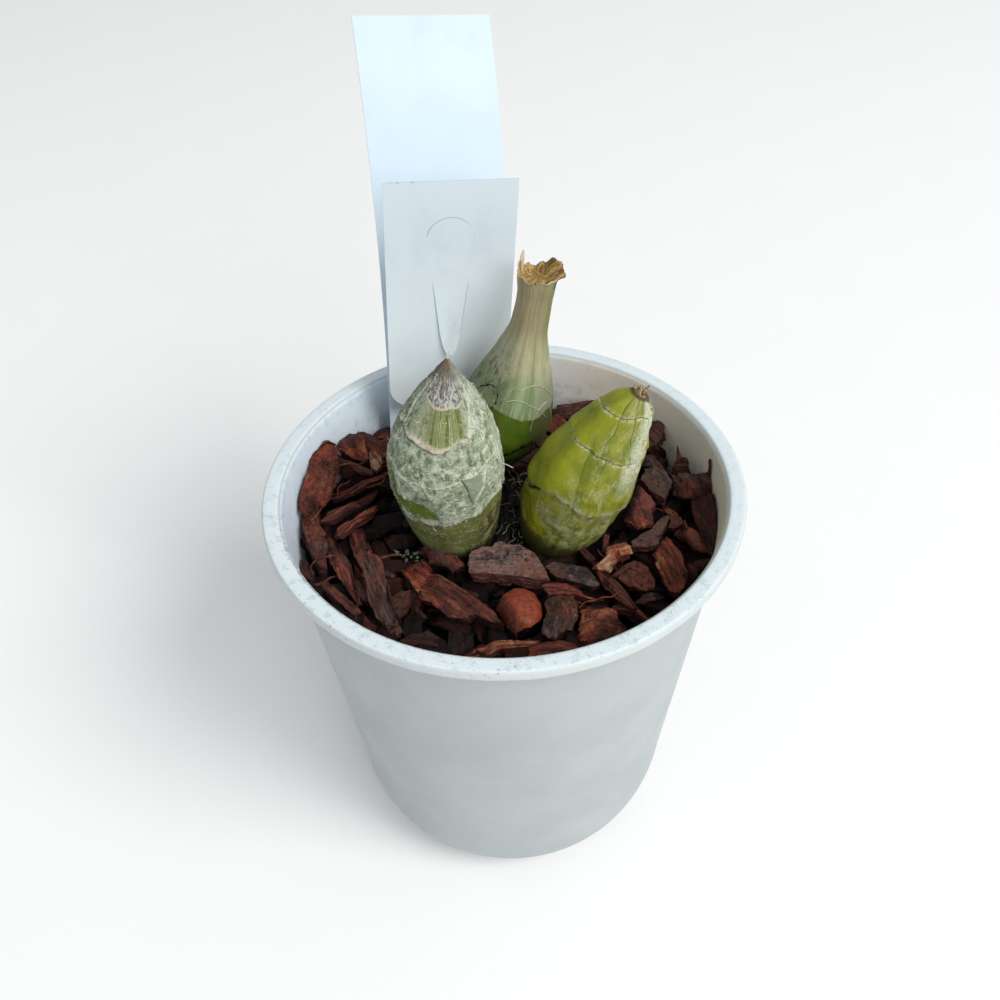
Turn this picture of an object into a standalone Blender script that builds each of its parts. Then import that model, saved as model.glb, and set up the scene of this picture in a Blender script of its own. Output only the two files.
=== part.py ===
# Potted catasetum orchid: a white plastic orchid pot filled with pine bark, three leafless
# pseudobulbs round one rhizome with its roots, and two plastic plant labels.
# Metres, +Z up. The origin is on the pot's axis, in the face that the pot stands on.
# -Y is the side that shows the two nearer pseudobulbs.

import math
import random

import bmesh
import bpy
import numpy as np
from mathutils import Matrix

# Pot
POT_HEIGHT = 0.1219
RIM_MOUTH_RADIUS = 0.056
RIM_SKIRT = 0.0030
BODY_TOP_RADIUS = 0.0560
CORNER_RADIUS_OUT = 0.0477
CORNER_HEIGHT = 0.0256
FOOT_RADIUS = 0.0346
FOOT_LIP_HEIGHT = 0.0020
FOOT_GROOVE = 0.0005
POT_WALL = 0.0012
POT_FLOOR = 0.0018
POT_SIDES = 56
BODY_RING_HEIGHTS = (0.090, 0.056, CORNER_HEIGHT)
CORNER_RING_SHARES = (0.72, 0.48, 0.28, 0.16)
DRAIN_HOLES = 8
DRAIN_RADIUS = 0.0035
DRAIN_CIRCLE = 0.024
# The rim's section, from the mouth round the top to the underside of the skirt: how far each
# point is out from the mouth's radius, and how far below the top.
RIM_SECTION = [
    (-0.0007, 0.0011),
    (0.0, 0.0002),
    (0.0006, 0.0),
    (0.0027, 0.0001),
    (0.0036, 0.0005),
    (0.0040, 0.0013),
    (0.0039, 0.0025),
    (0.0031, 0.0030),
    (0.0009, 0.0029),
    (0.0, 0.0038),
]
RIM_INSIDE_DROP = 0.0032

# Clearances between neighbours
WALL_GAP = 0.0004
SEAT_GAP = 0.00035

# Bark
BARK_CORE_TOP = 0.1040
BARK_CEILING = 0.1175
BARK_SIDES = 28
BARK_SEED = 41
CHIP_SLANT = 0.42
NUGGET_SHARE = 0.55
FILL_COUNT = 118
FILL_KEEP_OFF = 0.0052
FILL_RADIUS = 0.0510
WALL_RISE = 0.0020
FILL_LENGTHS = (0.011, 0.018)
FILL_WIDTHS = (0.0040, 0.0072)
FILL_THICKNESSES = (0.0034, 0.0050)
FILL_STANDING = (0.0002, 0.0018)
FILL_TILT = 10
FILL_ROLL = 24
GOLDEN_ANGLE = math.radians(137.508)

# The chips that can be told apart: centre x, y, z, then length, width, thickness, then the
# heading of the long side and its tilt and roll in degrees. Places and sizes in millimetres.
MILLIMETRE = 0.001
PLACED_CHIPS = [
    (0.6, -19.6, 107.8, 20, 13.0, 4.6, -3, 2, 6),
    (-13.3, -24.6, 107.0, 28, 7.8, 5.0, -43, 3, 14),
    (3.1, -33.4, 106.6, 12, 11.5, 9.0, 12, 0, 0),
    (-16.8, -15.6, 107.2, 13, 6.0, 4.0, -31, 0, 10),
    (-1.8, -41.6, 106.0, 19, 3.2, 3.0, 10, 1, 0),
    (8.6, -43.2, 105.0, 14, 5.5, 4.0, -3, 0, 14),
    (12.9, -32.2, 106.6, 16, 10.5, 7.5, -61, 0, -8),
    (22.6, -37.4, 106.4, 12, 10.0, 7.0, 8, 0, 6),
    (16.2, -20.8, 106.4, 14, 7.5, 4.5, -17, -3, 8),
    (25.4, -27.0, 107.8, 18, 3.4, 3.6, -60, 3, 20),
    (30.2, -34.2, 106.0, 11, 4.0, 4.0, -3, 0, 0),
    (26.2, -18.2, 108.8, 11, 8.0, 5.5, 7, 4, -10),
    (34.8, -3.2, 110.2, 9, 8.8, 6.0, -63, 10, 0),
    (36.3, -10.8, 108.0, 12, 8.0, 4.0, -24, 0, 6),
    (40.4, -20.4, 107.6, 19, 6.6, 4.6, -81, 4, -20),
    (45.6, -10.6, 108.8, 14, 6.8, 5.0, -64, 4, -24),
    (50.2, -6.6, 108.8, 17, 5.0, 4.6, -81, 4, -30),
    (47.6, 6.4, 109.8, 13, 7.4, 4.6, -32, 0, -26),
    (40.6, 8.4, 108.8, 14, 7.0, 4.6, -70, 8, -10),
    (47.6, 14.8, 109.6, 11, 3.4, 3.4, -84, 22, 0),
    (51.6, 4.4, 111.4, 11, 3.4, 3.2, -88, 26, -20),
    (24.4, 43.4, 107.6, 16, 7.4, 4.6, 14, 0, 16),
    (40.8, 28.4, 109.4, 13, 5.2, 4.4, -66, 0, -20),
    (-47.0, 9.6, 111.0, 22, 9.6, 4.6, -104, 2, 34),
    (-41.6, 26.6, 110.4, 13, 8.4, 5.0, -39, 10, 12),
    (-34.0, 28.2, 108.6, 11, 9.6, 5.0, 3, 6, 10),
    (-38.0, 14.4, 108.4, 17, 4.2, 3.6, 27, 3, 10),
    (-41.0, 5.4, 108.2, 18, 4.2, 3.6, 36, 4, 10),
    (-38.8, 0.8, 107.6, 15, 3.6, 3.6, 40, 5, -6),
    (-48.0, -9.8, 108.2, 15, 6.2, 4.2, -68, 2, 26),
    (-41.0, -16.2, 108.2, 24, 4.6, 4.2, -72, 3, 8),
    (-33.6, -19.2, 108.4, 32, 6.2, 5.0, -71, 2, 8),
    (-38.4, -28.6, 105.8, 20, 3.4, 3.6, -47, 2, 0),
    (-26.4, -27.2, 106.0, 9, 7.2, 4.6, 28, 0, 0),
    (-20.6, -39.4, 104.6, 13, 5.0, 4.0, -18, 0, 10),
    (24.8, -42.4, 104.4, 13, 4.6, 4.0, 24, 0, 0),
    (-5.0, -33.0, 105.0, 12, 5.6, 4.0, 55, 0, 8),
    (-24.6, 20.0, 105.8, 14, 6.0, 4.2, 70, 0, 8),
    (34.0, 34.6, 106.6, 14, 6.4, 4.4, -40, 0, 12),
    (14.0, 39.6, 105.6, 14, 6.0, 4.2, 62, 0, 6),
]

# Pseudobulbs. A profile point is how far up the axis it lies, as a share of the length from
# the bark's surface to the tip, and the radius there.
BULB_SIDES = 24
BULB_STATIONS = 13
RING_HALF_WIDTH = 0.014
RING_DEPTH = 0.00035
CUT_SIDES = 16
CUT_STATIONS = 9
CUT_EASE = 0.0002
CUT_END_SHARE = 0.024
LOW_END_SHARE = 0.012
MOUTH_INNER_TEETH = 0.8
MOUTH_FLOOR_WIDTH = 0.55
FRONT_BULB = {
    "base": (-0.0126, -0.0019, 0.1060),
    "tip": (-0.0114, -0.0028, 0.1603),
    "bow": -0.0017,
    "profile": [(-0.20, 0.0022), (-0.14, 0.0062), (0.0, 0.0099), (0.12, 0.0116), (0.25, 0.0129),
                (0.45, 0.0136), (0.62, 0.0119), (0.80, 0.0076), (0.92, 0.0030), (0.985, 0.0008)],
    "rings": (0.10, 0.27, 0.53, 0.70, 0.82),
    "ring_tilt": (0.020, 70),
    "ribs": (9, 0.00022),
    "cut_to": 0.50,
    "mouth": None,
}
BACK_BULB = {
    "base": (-0.0052, 0.0240, 0.1060),
    "tip": (0.0101, 0.0238, 0.1648),
    "bow": 0.0019,
    "profile": [(-0.13, 0.0020), (-0.08, 0.0045), (0.0, 0.0064), (0.12, 0.0092), (0.21, 0.0118),
                (0.30, 0.0127), (0.40, 0.0117), (0.50, 0.0098), (0.65, 0.0066), (0.78, 0.0044),
                (0.90, 0.0041), (0.965, 0.0049)],
    "rings": (0.24, 0.42),
    "ring_tilt": (0.016, -20),
    "ribs": (11, 0.00020),
    "cut_to": 0.40,
    "mouth": {"wall": 0.0010, "depth": 0.0042, "teeth": (5, 0.0009), "spike": (-100, 22, 0.0040),
              "lift": (120, 0.0022), "flare": (80, 0.0016)},
}
RIGHT_BULB = {
    "base": (0.0125, -0.0025, 0.1060),
    "tip": (0.0325, -0.0028, 0.1493),
    "bow": -0.0006,
    "profile": [(-0.20, 0.0024), (-0.14, 0.0060), (0.0, 0.0098), (0.12, 0.0114), (0.25, 0.0122),
                (0.45, 0.0126), (0.62, 0.0107), (0.80, 0.0078), (0.92, 0.0055), (0.975, 0.0024)],
    "rings": (0.17, 0.385, 0.68, 0.90),
    "ring_tilt": (0.030, 75),
    "ribs": (7, 0.00030),
    "cut_to": 0.50,
    "mouth": {"wall": 0.0008, "depth": 0.0014, "teeth": (5, 0.0009), "spike": (40, 30, 0.0008),
              "lift": (-90, 0.0006), "flare": (0, 0.0)},
}

# Rhizome and roots, in a plain oval well between the pseudobulbs
WELL_CENTRE = (0.0002, 0.0075)
WELL_RADII = (0.0100, 0.0185)
WELL_FLOOR = 0.0880
RHIZOME_CENTRE = (0.0002, 0.0070, 0.0985)
RHIZOME_RADII = (0.0088, 0.0160, 0.0085)
ROOT_COUNT = 11
ROOT_RADIUS = 0.0009
ROOT_POINTS = 7
ROOT_SEED = 7
ROOT_START_HEIGHT = 0.1005
ROOT_CROWN_HEIGHT = 0.1040
ROOT_CROWN_SPREAD = 0.0032
ROOT_END_DROP = 0.004
ROOT_KEEP_OFF = (0.0024, 0.0030)
WELL_OVERSHOOT = 0.004

# Labels, each a sheet that stands on the point of its stake
LABEL_THICKNESS = 0.0006
CUTTER_REACH = 0.002
FRONT_LABEL_FOOT = (-0.01815, 0.0361, 0.0679)
FRONT_LABEL_LENGTH = 0.1150
FRONT_LABEL_WIDTH = 0.0327
FRONT_LABEL_YAW = math.radians(9.5)
FRONT_LABEL_LEAN = math.radians(4.4)
FRONT_STAKE_WIDTH = 0.0110
FRONT_SHOULDER_HEIGHT = 0.0500
FRONT_SHOULDER_RADIUS = 0.0065
FRONT_STAKE_POINT = 0.0120
FRONT_STAKE_TIP_WIDTH = 0.0018
FRONT_STAKE_SHOULDER_DROP = 0.0060
TONGUE_HEAD_BELOW_TOP = 0.01535
TONGUE_HEAD_RADIUS = 0.0062
TONGUE_HINGE_BELOW_TOP = 0.0270
TONGUE_TIP_BELOW_TOP = 0.0480
TONGUE_TIP_RADIUS = 0.0017
TONGUE_LIFT = 0.0032
TONGUE_SLIT = 0.0004
TONGUE_BELLY = 0.0010
TONGUE_OVERLAP = 0.0010
TONGUE_CURL = 1.6
ARC_SLIT = 0.0003
TALL_LABEL_FOOT = (-0.01705, 0.0379, 0.0750)
TALL_LABEL_LENGTH = 0.1410
TALL_LABEL_WIDTH = 0.0362
TALL_LABEL_YAW = math.radians(16.4)
TALL_LABEL_LEAN = math.radians(6.2)
TALL_LABEL_BEND_RADIUS = 0.212
TALL_LABEL_POINT = 0.0160
TALL_LABEL_TIP_WIDTH = 0.0024
TALL_LABEL_STEPS = 16

COLOURS = {
    "white_plastic": ((0.80, 0.83, 0.84, 1.0), 0.42),
    "bark": ((0.13, 0.045, 0.030, 1.0), 0.85),
    "roots": ((0.018, 0.014, 0.011, 1.0), 0.90),
    "bulb_grey_green": ((0.30, 0.34, 0.22, 1.0), 0.70),
    "bulb_papery": ((0.33, 0.31, 0.20, 1.0), 0.65),
    "bulb_yellow_green": ((0.33, 0.36, 0.05, 1.0), 0.45),
    "label_grey": ((0.70, 0.76, 0.78, 1.0), 0.35),
    "label_blue_white": ((0.80, 0.88, 0.94, 1.0), 0.35),
}


def clear_scene():
    for existing in list(bpy.data.objects):
        bpy.data.objects.remove(existing, do_unlink=True)


def new_collection(name):
    collection = bpy.data.collections.new(name)
    bpy.context.scene.collection.children.link(collection)
    return collection


def make_material(name):
    colour, roughness = COLOURS[name]
    material = bpy.data.materials.new(name)
    material.use_nodes = True
    shader = material.node_tree.nodes["Principled BSDF"]
    shader.inputs["Base Color"].default_value = colour
    shader.inputs["Roughness"].default_value = roughness
    shader.inputs["Metallic"].default_value = 0.0
    return material


def add_object(name, mesh, collection, material=None):
    added = bpy.data.objects.new(name, mesh)
    collection.objects.link(added)
    if material:
        mesh.materials.append(material)
    return added


def add_cutter(name, mesh, collection):
    cutter = add_object(name, mesh, collection)
    cutter.hide_render = True
    cutter.display_type = "WIRE"
    return cutter


def mesh_from_bmesh(name, shape):
    bmesh.ops.recalc_face_normals(shape, faces=shape.faces)
    mesh = bpy.data.meshes.new(name)
    shape.to_mesh(mesh)
    shape.free()
    return mesh


def turned_mesh(name, profile, sides):
    # A closed solid of revolution. The profile starts and ends on the axis and runs down
    # the outer side.
    mesh = bpy.data.meshes.new(name + "_profile")
    points = [(radius, 0.0, height) for radius, height in profile]
    edges = [(index, index + 1) for index in range(len(points) - 1)]
    mesh.from_pydata(points, edges, [])
    turned = bpy.data.objects.new(name + "_turning", mesh)
    bpy.context.scene.collection.objects.link(turned)
    screw = turned.modifiers.new("turn", "SCREW")
    screw.axis = "Z"
    screw.angle = math.tau
    screw.steps = sides
    screw.render_steps = sides
    screw.use_merge_vertices = True
    screw.merge_threshold = 0.00005
    screw.use_smooth_shade = True
    result = evaluated_mesh(turned)
    result.name = name
    bpy.data.objects.remove(turned, do_unlink=True)
    return result


def evaluated_mesh(source):
    bpy.context.view_layer.update()
    depsgraph = bpy.context.evaluated_depsgraph_get()
    return bpy.data.meshes.new_from_object(source.evaluated_get(depsgraph))


def loft_mesh(name, rings, start, end):
    # Rings of equally many points, joined in turn and closed to a point at each end.
    count = len(rings[0])
    points = [tuple(point) for ring in rings for point in ring]
    first = len(points)
    last = first + 1
    points.append(tuple(start))
    points.append(tuple(end))
    faces = []
    for level in range(len(rings) - 1):
        for side in range(count):
            after = (side + 1) % count
            low = level * count
            high = low + count
            faces.append((low + side, low + after, high + after, high + side))
    top = (len(rings) - 1) * count
    for side in range(count):
        after = (side + 1) % count
        faces.append((first, after, side))
        faces.append((last, top + side, top + after))
    mesh = bpy.data.meshes.new(name)
    mesh.from_pydata(points, [], faces)
    mesh.shade_smooth()
    return mesh


def combine(target, collection, operation, solver="MANIFOLD"):
    # One Boolean with a whole collection, applied, after which its objects are removed.
    boolean = target.modifiers.new(operation.lower(), "BOOLEAN")
    boolean.operation = operation
    boolean.operand_type = "COLLECTION"
    boolean.collection = collection
    boolean.solver = solver
    result = evaluated_mesh(target)
    target.modifiers.clear()
    target.data = result
    for used in list(collection.objects):
        bpy.data.objects.remove(used, do_unlink=True)
    bpy.data.collections.remove(collection)


def keep_main_body(target):
    # Drops loose scraps and the skins of sealed hollows.
    shape = bmesh.new()
    shape.from_mesh(target.data)
    bmesh.ops.triangulate(shape, faces=shape.faces)
    seen = set()
    bodies = []
    for seed in shape.faces:
        if seed in seen:
            continue
        body = []
        stack = [seed]
        seen.add(seed)
        while stack:
            face = stack.pop()
            body.append(face)
            for edge in face.edges:
                for other in edge.link_faces:
                    if other not in seen:
                        seen.add(other)
                        stack.append(other)
        bodies.append(body)
    main = max(bodies, key=len)
    scraps = [face for body in bodies if body is not main for face in body]
    bmesh.ops.delete(shape, geom=scraps, context="FACES")
    shape.to_mesh(target.data)
    shape.free()


def pot_outer_radius(height):
    # Straight taper above the rounded corner, a quarter ellipse below it.
    if height < CORNER_HEIGHT:
        rise = 1.0 - height / CORNER_HEIGHT
        return FOOT_RADIUS + (CORNER_RADIUS_OUT - FOOT_RADIUS) * math.sqrt(1.0 - rise * rise)
    share = (height - CORNER_HEIGHT) / (POT_HEIGHT - RIM_SKIRT - CORNER_HEIGHT)
    return CORNER_RADIUS_OUT + (BODY_TOP_RADIUS - CORNER_RADIUS_OUT) * share


def pot_inner_profile(gap, top, steps=4):
    # Down the pot's inside from the height given to the middle of its floor.
    floor = POT_FLOOR + gap
    straight = [(pot_outer_radius(height) - POT_WALL - gap, height)
                for height in np.linspace(top, CORNER_HEIGHT, 4)]
    corner = []
    for angle in np.linspace(0, math.pi / 2, steps + 1)[1:]:
        radius = FOOT_RADIUS + (CORNER_RADIUS_OUT - POT_WALL - gap - FOOT_RADIUS) * math.cos(angle)
        corner.append((radius, CORNER_HEIGHT - (CORNER_HEIGHT - floor) * math.sin(angle)))
    return straight + corner + [(0.0, floor)]


def make_pot(collection, cutters, material):
    inner = pot_inner_profile(0.0, POT_HEIGHT - RIM_INSIDE_DROP)[::-1]
    rim = [(RIM_MOUTH_RADIUS + out, POT_HEIGHT - down) for out, down in RIM_SECTION]
    outer = [(pot_outer_radius(height), height) for height in BODY_RING_HEIGHTS]
    for share in CORNER_RING_SHARES:
        height = CORNER_HEIGHT * share
        outer.append((pot_outer_radius(height), height))
    lip_radius = pot_outer_radius(FOOT_LIP_HEIGHT * 0.5)
    lip = [
        (pot_outer_radius(FOOT_LIP_HEIGHT) + 0.0002, FOOT_LIP_HEIGHT + 0.0006),
        (lip_radius - FOOT_GROOVE, FOOT_LIP_HEIGHT + 0.0001),
        (lip_radius, FOOT_LIP_HEIGHT - 0.0005),
        (lip_radius - 0.0003, 0.0002),
        (lip_radius - 0.0006, 0.0),
        (0.0, 0.0),
    ]
    mesh = turned_mesh("pot", inner + rim + outer + lip, POT_SIDES)
    pot = add_object("pot", mesh, collection, material)
    for index in range(DRAIN_HOLES):
        angle = math.tau * (index + 0.5) / DRAIN_HOLES
        shape = bmesh.new()
        bmesh.ops.create_cone(shape, cap_ends=True, segments=16, radius1=DRAIN_RADIUS,
                              radius2=DRAIN_RADIUS, depth=0.02)
        hole = add_cutter("drain_hole_%d" % index, mesh_from_bmesh("drain_hole", shape), cutters)
        hole.location = (DRAIN_CIRCLE * math.cos(angle), DRAIN_CIRCLE * math.sin(angle), 0.0)
    combine(pot, cutters, "DIFFERENCE")
    pot.data.set_sharp_from_angle(angle=math.radians(35))
    return pot


def smooth_radius(profile, share):
    # A monotone cubic through the profile's points.
    shares = np.array([point[0] for point in profile])
    radii = np.array([point[1] for point in profile])
    slopes = np.diff(radii) / np.diff(shares)
    tangents = np.zeros(len(radii))
    for index in range(1, len(radii) - 1):
        before = slopes[index - 1]
        after = slopes[index]
        if before * after > 0:
            tangents[index] = 2.0 * before * after / (before + after)
    tangents[0] = slopes[0]
    tangents[-1] = slopes[-1]
    share = min(max(share, shares[0]), shares[-1])
    span = min(int(np.searchsorted(shares, share, side="right")) - 1, len(slopes) - 1)
    width = shares[span + 1] - shares[span]
    local = (share - shares[span]) / width
    return float(radii[span] * (1 + 2 * local) * (1 - local) ** 2
                 + radii[span + 1] * local ** 2 * (3 - 2 * local)
                 + tangents[span] * width * local * (1 - local) ** 2
                 - tangents[span + 1] * width * local ** 2 * (1 - local))


def bulb_frame(bulb):
    # The axis, and two unit vectors square to it: towards -Y and towards +X.
    base = np.array(bulb["base"])
    span = np.array(bulb["tip"]) - base
    along = span / np.linalg.norm(span)
    front = np.array((0.0, -1.0, 0.0))
    front = front - along * front.dot(along)
    front = front / np.linalg.norm(front)
    right = np.cross(along, front)
    return base, span, along, front, right


def bulb_centre(bulb, share):
    base, span, along, front, right = bulb_frame(bulb)
    return base + span * share + np.array((bulb["bow"] * 4.0 * share * (1.0 - share), 0.0, 0.0))


def bulb_ring(bulb, share, sides, radius, relief=0.0, lift=None):
    base, span, along, front, right = bulb_frame(bulb)
    tilt, tilt_heading = bulb["ring_tilt"]
    rib_count, rib_depth = bulb["ribs"]
    fade = max(0.0, math.sin(math.pi * min(max(share, 0.0), 1.0)))
    ring = []
    for side in range(sides):
        angle = math.tau * side / sides
        place = share + tilt * fade * math.cos(angle - math.radians(tilt_heading))
        spread = radius + relief + rib_depth * fade * math.cos(rib_count * angle + 2.0 * share)
        raised = 0.0
        if lift:
            raised, flare = lift(angle)
            spread = spread + flare
        out = front * math.cos(angle) + right * math.sin(angle)
        ring.append(bulb_centre(bulb, place) + out * spread + along * raised)
    return ring


def mouth_edge(mouth, angle):
    # The height and the outward flare of the torn edge at one angle.
    teeth, tooth_height = mouth["teeth"]
    spike_at, spike_width, spike_height = mouth["spike"]
    lift_at, lift_height = mouth["lift"]
    flare_at, flare_depth = mouth["flare"]
    turn = math.degrees(angle) - spike_at
    turn = (turn + 180.0) % 360.0 - 180.0
    height = tooth_height * math.sin(teeth * angle + 0.8) * math.cos(2.0 * angle)
    height = height + spike_height * math.exp(-(turn / spike_width) ** 2)
    height = height + lift_height * 0.5 * (1.0 + math.cos(angle - math.radians(lift_at)))
    flare = flare_depth * 0.5 * (1.0 + math.cos(angle - math.radians(flare_at)))
    return height, flare


def bulb_stations(bulb):
    start = bulb["profile"][0][0]
    end = bulb["profile"][-1][0]
    stations = [(share, 0.0) for share in np.linspace(start, end, BULB_STATIONS)]
    for ring in bulb["rings"]:
        stations = [station for station in stations
                    if abs(station[0] - ring) > 1.8 * RING_HALF_WIDTH]
        stations.append((ring - RING_HALF_WIDTH, 0.0))
        stations.append((ring, -RING_DEPTH))
        stations.append((ring + RING_HALF_WIDTH, 0.0))
    return sorted(stations)


def make_bulb(name, bulb, collection, material):
    base, span, along, front, right = bulb_frame(bulb)
    rings = []
    for share, relief in bulb_stations(bulb):
        radius = smooth_radius(bulb["profile"], share)
        rings.append(bulb_ring(bulb, share, BULB_SIDES, radius, relief))
    last_share, last_radius = bulb["profile"][-1]
    mouth = bulb["mouth"]
    if mouth:
        def edge(angle):
            return mouth_edge(mouth, angle)

        def inner_edge(angle):
            height, flare = mouth_edge(mouth, angle)
            return height * MOUTH_INNER_TEETH, flare
        inner_radius = last_radius - mouth["wall"]
        rim_share = last_share + LOW_END_SHARE
        rings.append(bulb_ring(bulb, rim_share, BULB_SIDES, last_radius, 0.0, edge))
        rings.append(bulb_ring(bulb, rim_share, BULB_SIDES, inner_radius, 0.0, inner_edge))
        floor_share = last_share - mouth["depth"] / np.linalg.norm(span)
        floor_radius = inner_radius * MOUTH_FLOOR_WIDTH
        rings.append(bulb_ring(bulb, floor_share, BULB_SIDES, floor_radius))
        end = bulb_centre(bulb, floor_share)
    else:
        end = bulb_centre(bulb, 1.0)
    start_share = bulb["profile"][0][0] - LOW_END_SHARE
    mesh = loft_mesh(name, rings, bulb_centre(bulb, start_share), end)
    return add_object(name, mesh, collection, material)


def bulb_clearance(name, bulb, collection):
    # The pseudobulb's lower part, larger all round by the seat gap.
    start = bulb["profile"][0][0]
    top_share = bulb["cut_to"]
    grow = SEAT_GAP + CUT_EASE + bulb["ribs"][1]
    widen = 1.0 / math.cos(math.pi / CUT_SIDES)
    rings = []
    for share in np.linspace(start, top_share, CUT_STATIONS):
        radius = (smooth_radius(bulb["profile"], share) + grow) * widen
        rings.append(bulb_ring(bulb, share, CUT_SIDES, radius))
    low = bulb_centre(bulb, start - CUT_END_SHARE)
    mesh = loft_mesh(name, rings, low, bulb_centre(bulb, top_share))
    return add_cutter(name, mesh, collection)


def add_bulb_clearances(collection):
    bulb_clearance("front_hole", FRONT_BULB, collection)
    bulb_clearance("back_hole", BACK_BULB, collection)
    bulb_clearance("right_hole", RIGHT_BULB, collection)


def nugget_mesh(name, length, width, thickness, rng):
    # A rounded lump of bark.
    shape = bmesh.new()
    bmesh.ops.create_icosphere(shape, subdivisions=1, radius=0.5)
    for corner in shape.verts:
        swell = 1.0 + rng.uniform(-0.08, 0.08)
        corner.co = (corner.co.x * length * swell, corner.co.y * width * swell,
                     corner.co.z * thickness * swell)
    return mesh_from_bmesh(name, shape)


def slab_mesh(name, length, width, thickness, rng):
    # A broken slab: a box with slanting ends, thinner and narrower at its ends than at the
    # fold across its middle.
    shape = bmesh.new()
    bmesh.ops.create_cube(shape, size=1.0)
    fold = rng.uniform(-0.18, 0.18)
    everything = shape.verts[:] + shape.edges[:] + shape.faces[:]
    bmesh.ops.bisect_plane(shape, geom=everything, plane_co=(fold, 0, 0), plane_no=(1, 0, 0))
    slants = (rng.uniform(-CHIP_SLANT, CHIP_SLANT), rng.uniform(-CHIP_SLANT, CHIP_SLANT))
    widths = (rng.uniform(0.55, 0.95), rng.uniform(0.55, 0.95))
    depths = (rng.uniform(0.55, 1.0), rng.uniform(0.55, 1.0))
    bow = rng.uniform(-0.10, 0.10)
    for corner in shape.verts:
        across = corner.co.y
        if abs(corner.co.x) > 0.4:
            end = 0 if corner.co.x < 0 else 1
            corner.co.x += slants[end] * across * width / length
            corner.co.y *= widths[end]
            corner.co.z *= depths[end]
        else:
            corner.co.y += bow
        corner.co.y *= 1.0 - 0.10 * (corner.co.z > 0)
        corner.co.x = (corner.co.x + rng.uniform(-0.03, 0.03)) * length
        corner.co.y = (corner.co.y + rng.uniform(-0.06, 0.06)) * width
        corner.co.z = (corner.co.z + rng.uniform(-0.05, 0.05)) * thickness
    bmesh.ops.triangulate(shape, faces=shape.faces)
    return mesh_from_bmesh(name, shape)


def chip_mesh(name, size, rng):
    length, width, thickness = size
    if thickness / length > NUGGET_SHARE:
        return nugget_mesh(name, length, width, thickness, rng)
    return slab_mesh(name, length, width, thickness, rng)


def add_chip(name, collection, centre, size, turn, rng):
    heading, tilt, roll = turn
    chip = add_cutter(name, chip_mesh(name, size, rng), collection)
    chip.location = centre
    spin = Matrix.Rotation(math.radians(heading), 4, "Z")
    pitch = Matrix.Rotation(math.radians(-tilt), 4, "Y")
    bank = Matrix.Rotation(math.radians(roll), 4, "X")
    chip.rotation_euler = (spin @ pitch @ bank).to_euler()
    return chip


def fill_chips():
    # Chips for the ground between the placed ones, on a sunflower spiral.
    rng = random.Random(BARK_SEED)
    placed = [(x * MILLIMETRE, y * MILLIMETRE) for x, y, z, *rest in PLACED_CHIPS]
    chips = []
    for index in range(FILL_COUNT):
        radius = FILL_RADIUS * math.sqrt((index + 0.5) / FILL_COUNT)
        angle = index * GOLDEN_ANGLE
        x = radius * math.cos(angle)
        y = radius * math.sin(angle)
        size = [rng.uniform(*limits) for limits in (FILL_LENGTHS, FILL_WIDTHS, FILL_THICKNESSES)]
        turn = (rng.uniform(0, 180), rng.uniform(-FILL_TILT, FILL_TILT),
                rng.uniform(-FILL_ROLL, FILL_ROLL))
        rise = WALL_RISE * (radius / FILL_RADIUS) ** 2
        height = BARK_CORE_TOP + rng.uniform(*FILL_STANDING) + rise
        nearest = min(math.hypot(x - px, y - py) for px, py in placed)
        if nearest > FILL_KEEP_OFF:
            chips.append(((x, y, height), size, turn))
    return chips


def make_bark(collection, material):
    rng = random.Random(BARK_SEED + 1)
    core_profile = [(0.0, BARK_CORE_TOP)] + pot_inner_profile(WALL_GAP, BARK_CORE_TOP)
    bark = add_object("bark_bed", turned_mesh("bark_bed", core_profile, BARK_SIDES), collection,
                      material)
    chips = new_collection("chips")
    for index, chip in enumerate(PLACED_CHIPS):
        values = [value * MILLIMETRE for value in chip[:6]]
        add_chip("placed_chip_%d" % index, chips, values[:3], values[3:], chip[6:], rng)
    for index, (centre, size, turn) in enumerate(fill_chips()):
        add_chip("fill_chip_%d" % index, chips, centre, size, turn, rng)
    combine(bark, chips, "UNION")
    return bark


def trim_bark(bark):
    # Kept inside the pot's wall, then opened for what stands in it.
    inside = new_collection("inside")
    profile = [(0.0, BARK_CEILING)] + pot_inner_profile(WALL_GAP, BARK_CEILING)
    add_cutter("inside", turned_mesh("inside", profile, BARK_SIDES), inside)
    combine(bark, inside, "INTERSECT")
    holes = new_collection("holes")
    add_bulb_clearances(holes)
    add_well(holes)
    add_cutter("front_slot", front_label_mesh(SEAT_GAP), holes)
    add_cutter("tall_slot", tall_label_mesh(SEAT_GAP), holes)
    combine(bark, holes, "DIFFERENCE")
    keep_main_body(bark)
    bark.data.shade_flat()


def add_well(collection):
    shape = bmesh.new()
    bmesh.ops.create_cone(shape, cap_ends=True, segments=24, radius1=1.0, radius2=1.0, depth=1.0)
    height = BARK_CEILING + WELL_OVERSHOOT - WELL_FLOOR
    bmesh.ops.scale(shape, vec=(WELL_RADII[0], WELL_RADII[1], height), verts=shape.verts)
    middle = (WELL_CENTRE[0], WELL_CENTRE[1], WELL_FLOOR + height / 2)
    bmesh.ops.translate(shape, vec=middle, verts=shape.verts)
    add_cutter("well", mesh_from_bmesh("well", shape), collection)


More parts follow.
